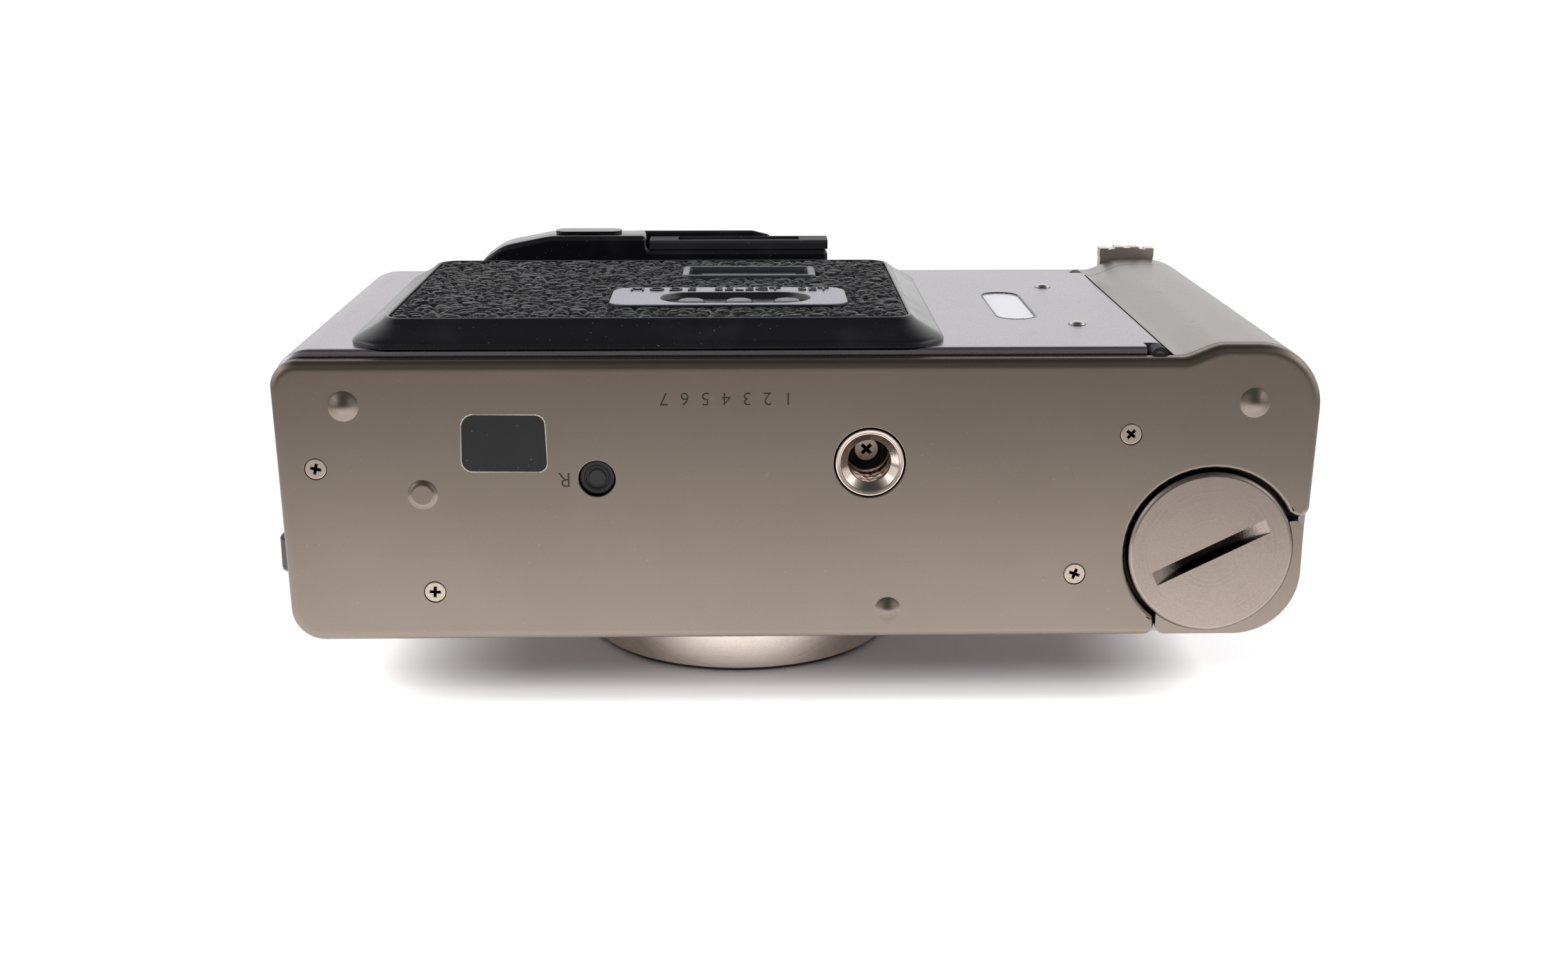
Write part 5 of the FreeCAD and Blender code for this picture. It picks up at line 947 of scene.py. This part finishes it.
def pad_finish():
    """Grey satin paint on the pad's face, and bare black moulding in its well."""
    f = Finish("pad_grey")
    place = f.spot()
    speck = f.noise(place, 4.0, 3.0)
    paint = f.mix(speck.step(0.3, 0.7), tint(104, 104, 112), tint(92, 92, 100))
    face = f.parts(place)[1].step(21.12, 21.2)
    return f.surface(Base_Color=f.mix(face, tint(9, 9, 11), paint),
                     Roughness=speck.step(0.3, 0.7, 0.24, 0.34), Normal=f.bump(speck, 0.3, 0.008))


pad.piece("button_pad_skin", pad_finish(), "button_pad")
words = Skin("back")
for text, (x, spread) in WORDS.items():
    points, faces, rim = lettering(text, LETTER_TALL, spread)
    low, high = PAD_TOP - 0.02, PAD_TOP + LETTER_RISE
    words.letters((points * (-1, 1) + (x, WORDS_HEIGHT), faces, rim), low, high, (low, high))
word_black = moulding("word_black", tint(14, 14, 16), 0.3)
words.piece("pad_words", word_black, "button_pad", extra=True)
key_grey = moulding("key_grey", tint(58, 58, 62), 0.3, 0.1, 0.008, 4.0)
for node, x in KEYS.items():
    key = Skin("back").stand(x, KEY_HEIGHT)
    key.turned([(0.0, 20.98), (1.0, 20.97), (1.4, 20.94), (1.58, 20.84), (KEY_ROUND, 20.68),
                (KEY_ROUND, KEY_LOW), (0.0, KEY_LOW)], 48)
    key.piece(node + "_cap", key_grey, node)

# %% [markdown]
# The display has a raised glossy rim, a black mask and a dark grey field. The rim is a band round a
# rounded rectangle, and the mask and the field are thin sheets, one on the other.

# %% Display
bezel = Skin("back")
bezel.slab(box_path(*BEZEL_BOX, 1.4, 6.0), [
    (0.0, 20.5), (0.0, 21.0), (0.06, 21.14), (0.2, 21.23), (0.38, 21.25), (0.7, 21.25), (0.86, 21.2),
    (1.02, 21.05), (1.12, 20.85), (1.15, 20.6)])
rim_grey = moulding("display_rim", tint(24, 25, 28), 0.2, 0.08, 0.002, 3.0)
bezel.piece("display_rim", rim_grey, "display_bezel", sharp=40)


def sheet(box, radius, low, high):
    """A thin flat slab on the back, with a narrow bevel."""
    skin = Skin("back")
    skin.slab(box_path(*box, radius), [(0.0, low), (0.0, high - 0.03), (0.03, high)])
    return skin


mask = sheet((-1.99, 13.69, 36.21, 42.19), 0.4, 20.51, 20.62)
mask_black = moulding("mask_black", tint(10, 10, 12), 0.1, 0.05, 0.0, 3.0, coat=0.5)
mask.piece("display_mask", mask_black, "display_glass")
field = sheet((-0.6, 12.3, 37.1, 40.9), 0.3, 20.61, 20.64)
field_grey = moulding("display_field", tint(40, 42, 40), 0.2, 0.05, 0.0, 3.0, coat=0.3)
field.piece("display_field", field_grey, "display_glass", extra=True)

# %% [markdown]
# The finder's hump is one black moulding. Seen from below it is a low roof with rounded shoulders,
# so it is that outline carried upward, with a rolled edge at both ends. Behind the eyepiece frame
# a ridge goes on at full height and drops before the end.

# %% Finder hump
HUMP_LOW, HUMP_HIGH, HUMP_ROLL, RIDGE_LOW, RIDGE_ROLL = 60.15, 66.85, 0.7, 65.7, 0.35


def prism(skin, corners, low, high, roll):
    """An outline carried from one height to another, with a quarter round at both ends."""
    edge = quarter(roll)
    skin.slab(rounded(corners, 7.0), [(e, low + h) for e, h in edge[::-1]] + [(e, high - h) for e, h in edge])


hump = Skin()
prism(hump, [(45.3, 14.6, 0.8), (45.3, 19.3, 2.0), (42.0, 21.6, 6.0), (35.0, 23.0, 9.0), (20.9, 23.0, 0.75),
             (20.7, 20.95, 0.71), (-5.9, 20.95, 0.8), (-5.9, 14.6, 0.8)], HUMP_LOW, HUMP_HIGH, HUMP_ROLL)
prism(hump, [(22.5, 20.2, 0.36), (22.5, 22.98, 0.36), (5.2, 22.98, 2.0), (2.4, 22.3, 1.2), (2.0, 20.2, 0.36)],
      RIDGE_LOW, HUMP_HIGH, RIDGE_ROLL)
hump.piece("finder_hump", FINISHES["black_gloss"], "finder_block")

# %% [markdown]
# The door's rivets are bright domes in a countersink, and the film window is a clear stadium. A thin
# black ring round each is painted shade of the groove there. Both are small profiles, turned or carried along a
# path.

# %% Rivets and painted groove shade
RIVETS, RIVET_END, RING_FOOT = [(-35.4, 16.9), (-35.4, 44.7)], 16.6, 17.9
rivets, groove_shade_rings = Skin("back"), Skin("back")
for x, z in RIVETS:
    rivets.stand(x, z).turned([(0.0, 18.38), (0.35, 18.36), (0.65, 18.27), (0.88, 18.12), (0.98, 17.98),
                               (0.98, RIVET_END), (0.0, RIVET_END)], 48)
    # A black ring round each rivet's foot: painted shade of its countersink.
    groove_shade_rings.stand(x, z).turned([(1.0, RING_FOOT), (1.02, 17.99), (1.14, 18.0), (1.2, RING_FOOT)], 48)
rivets.piece("rivet_domes", plain_metal("rivet_steel", tint(214, 208, 200), 0.16), "door_rivets")
window = box_path(-31.2, -25.8, 20.3, 40.5, 2.65, 6.0)
# A black ring round the film window: painted shade of the groove round it.
groove_shade_rings.stand().band(window, [(0.0, RING_FOOT), (0.04, 17.98), (0.2, 18.0), (0.3, RING_FOOT)])
groove_shade_rings.piece("door_groove_shade", FINISHES["black_gloss"], "film_window", extra=True)

# %% [markdown]
# The table is white paper and the room round it is pale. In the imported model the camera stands
# upright, so the paper that it lies on in the photograph is a wall at the lens's front. Paper
# that shows only from its upper side keeps the shadow in this view and hides nothing from others.
# Away from the body the paper turns to plain white light for the eye, so it has no far edge, and
# in reflections it grows dimmer, as a table does outside its pool of light. An opening under the
# lens and the body, where nobody sees it, lets light reach the camera's front in other views.

# %% The table
PAPER_GAP, PAPER_HALF = 0.05, 900.0
SHADOW_HALF, SHADOW_MIDDLE, SHADOW_TALL, SHADOW_FAR, POOL = BODY_HALF - 8.0, 36.0, 33.5, 9.0, 170.0
OPEN_ROUND, OPEN_ARC, OPEN_HALF, OPEN_LOW, OPEN_HIGH = 18.8, (189.2, 350.8), 52.0, 29.0, 62.0


def paper_finish():
    """White paper from above and nothing from below. It fades to a plain white with the distance
    from the body's outline: d = |(max(|x| - half, 0), max(|z - middle| - tall, 0))|."""
    f = Finish("white_paper")
    x, _, z = f.parts(f.spot())
    dx = (x.math("ABSOLUTE") - SHADOW_HALF).math("MAXIMUM", 0.0)
    dz = ((z - SHADOW_MIDDLE).math("ABSOLUTE") - SHADOW_TALL).math("MAXIMUM", 0.0)
    distance = (dx * dx + dz * dz).math("SQRT")
    paper = f.node("BsdfDiffuse", {}, {"Color": (0.86, 0.85, 0.85, 1.0)})
    white = f.node("Emission", {}, {"Color": (1, 1, 1, 1), "Strength": 1.0})
    dim = f.node("Emission", {}, {"Color": (1.0, 0.96, 0.92, 1.0), "Strength": 0.42})
    seen = f.node("LightPath")
    mirrored = seen.output("Is Glossy Ray") * distance.step(0.0, POOL)
    sheet = f.node("MixShader", {}, {0: mirrored, 1: paper, 2: dim})
    sheet = f.node("MixShader", {}, {0: seen * distance.step(0.0, SHADOW_FAR), 1: sheet, 2: white})
    under = f.node("NewGeometry", out=6)
    f.show(f.node("MixShader", {}, {0: under, 1: sheet, 2: f.node("BsdfTransparent")}))
    return f.material


paper_y = drawn("mount_ring")[0][1] - PAPER_GAP
angle = np.radians(np.linspace(*OPEN_ARC, 50))
lens_arc = np.stack([LENS_X + OPEN_ROUND * np.cos(angle), LENS_Z + OPEN_ROUND * np.sin(angle)], 1)
opening = np.concatenate([[(-OPEN_HALF, OPEN_LOW)], lens_arc,
                          [(OPEN_HALF, OPEN_LOW), (OPEN_HALF, OPEN_HIGH), (-OPEN_HALF, OPEN_HIGH)]])
paper = Skin("back")
paper.fill([np.array([(-1, -1), (1, -1), (1, 1), (-1, 1)]) * PAPER_HALF, opening], paper_y)
paper.faces = [face[::-1] for face in paper.faces]
table = placed("table_paper", paper.mesh("table_paper"))
table.data.materials.append(paper_finish())
table.visible_shadow = False
print("the table is", round(paper_y, 2), "mm along Y")

# %% [markdown]
# Two soft boxes stand to the left and right, and a weaker one on the photographer's side. They
# light what is matt, and cast the shadow on the paper. Metal and gloss see only the room.


# %% The lamps
def lamp(name, place, target, size, power):
    """A square soft box, aimed at a point."""
    light = bpy.data.lights.new(name, "AREA")
    light.shape, light.size, light.energy = "SQUARE", size * MM, power
    thing = placed(name, light)
    spot, aim = (Vector(np.array(v, float) * MM + ORIGIN) for v in (place, target))
    turn = (aim - spot).to_track_quat("-Z", "Y").to_matrix().to_4x4()
    thing.matrix_world = Matrix.Translation(spot) @ turn
    thing.visible_glossy = False
    print(name, power, "W")


lamp("left_box", (380, 260, -60), (0, 0, 20), 300, 3.4)
lamp("right_box", (-380, 300, 20), (0, 0, 20), 300, 3.0)
lamp("front_fill", (80, 330, -360), (0, -20, 0), 220, 1.8)

# %% [markdown]
# The world lights the object from all sides. The eye sees it as plain white. Polished pieces see a
# room that is darker towards the photographer and overhead, which is what gives black gloss its
# black and chrome its dark bands, and two brighter boxes at its sides.

# %% The room
AMBIENT, BOX_GLOW = 0.2, 1.7
room = Finish("pale_room", "worlds")
bpy.context.scene.world = room.material
aside, over, toward = room.parts(room.node("TexCoord", out=0))
graded = toward.step(-0.95, -0.1, 0.14, 1.0) * over.step(0.5, 0.93, 1.0, 0.09)
side_boxes = aside.math("ABSOLUTE").step(0.62, 0.78) * over.step(0.2, 0.45) * BOX_GLOW
rays = room.node("LightPath")
mirrored = rays.output("Is Glossy Ray").math("MAXIMUM", rays.output("Is Transmission Ray"))
strength = mirrored * graded.math("MAXIMUM", side_boxes) + (1.0 - mirrored) * AMBIENT
strength = rays + (1.0 - rays) * strength
room.show(room.node("Background", {}, {"Color": (1, 1, 1, 1), "Strength": strength}), "World")
print("light from the room itself", AMBIENT, "and from its side boxes", BOX_GLOW)
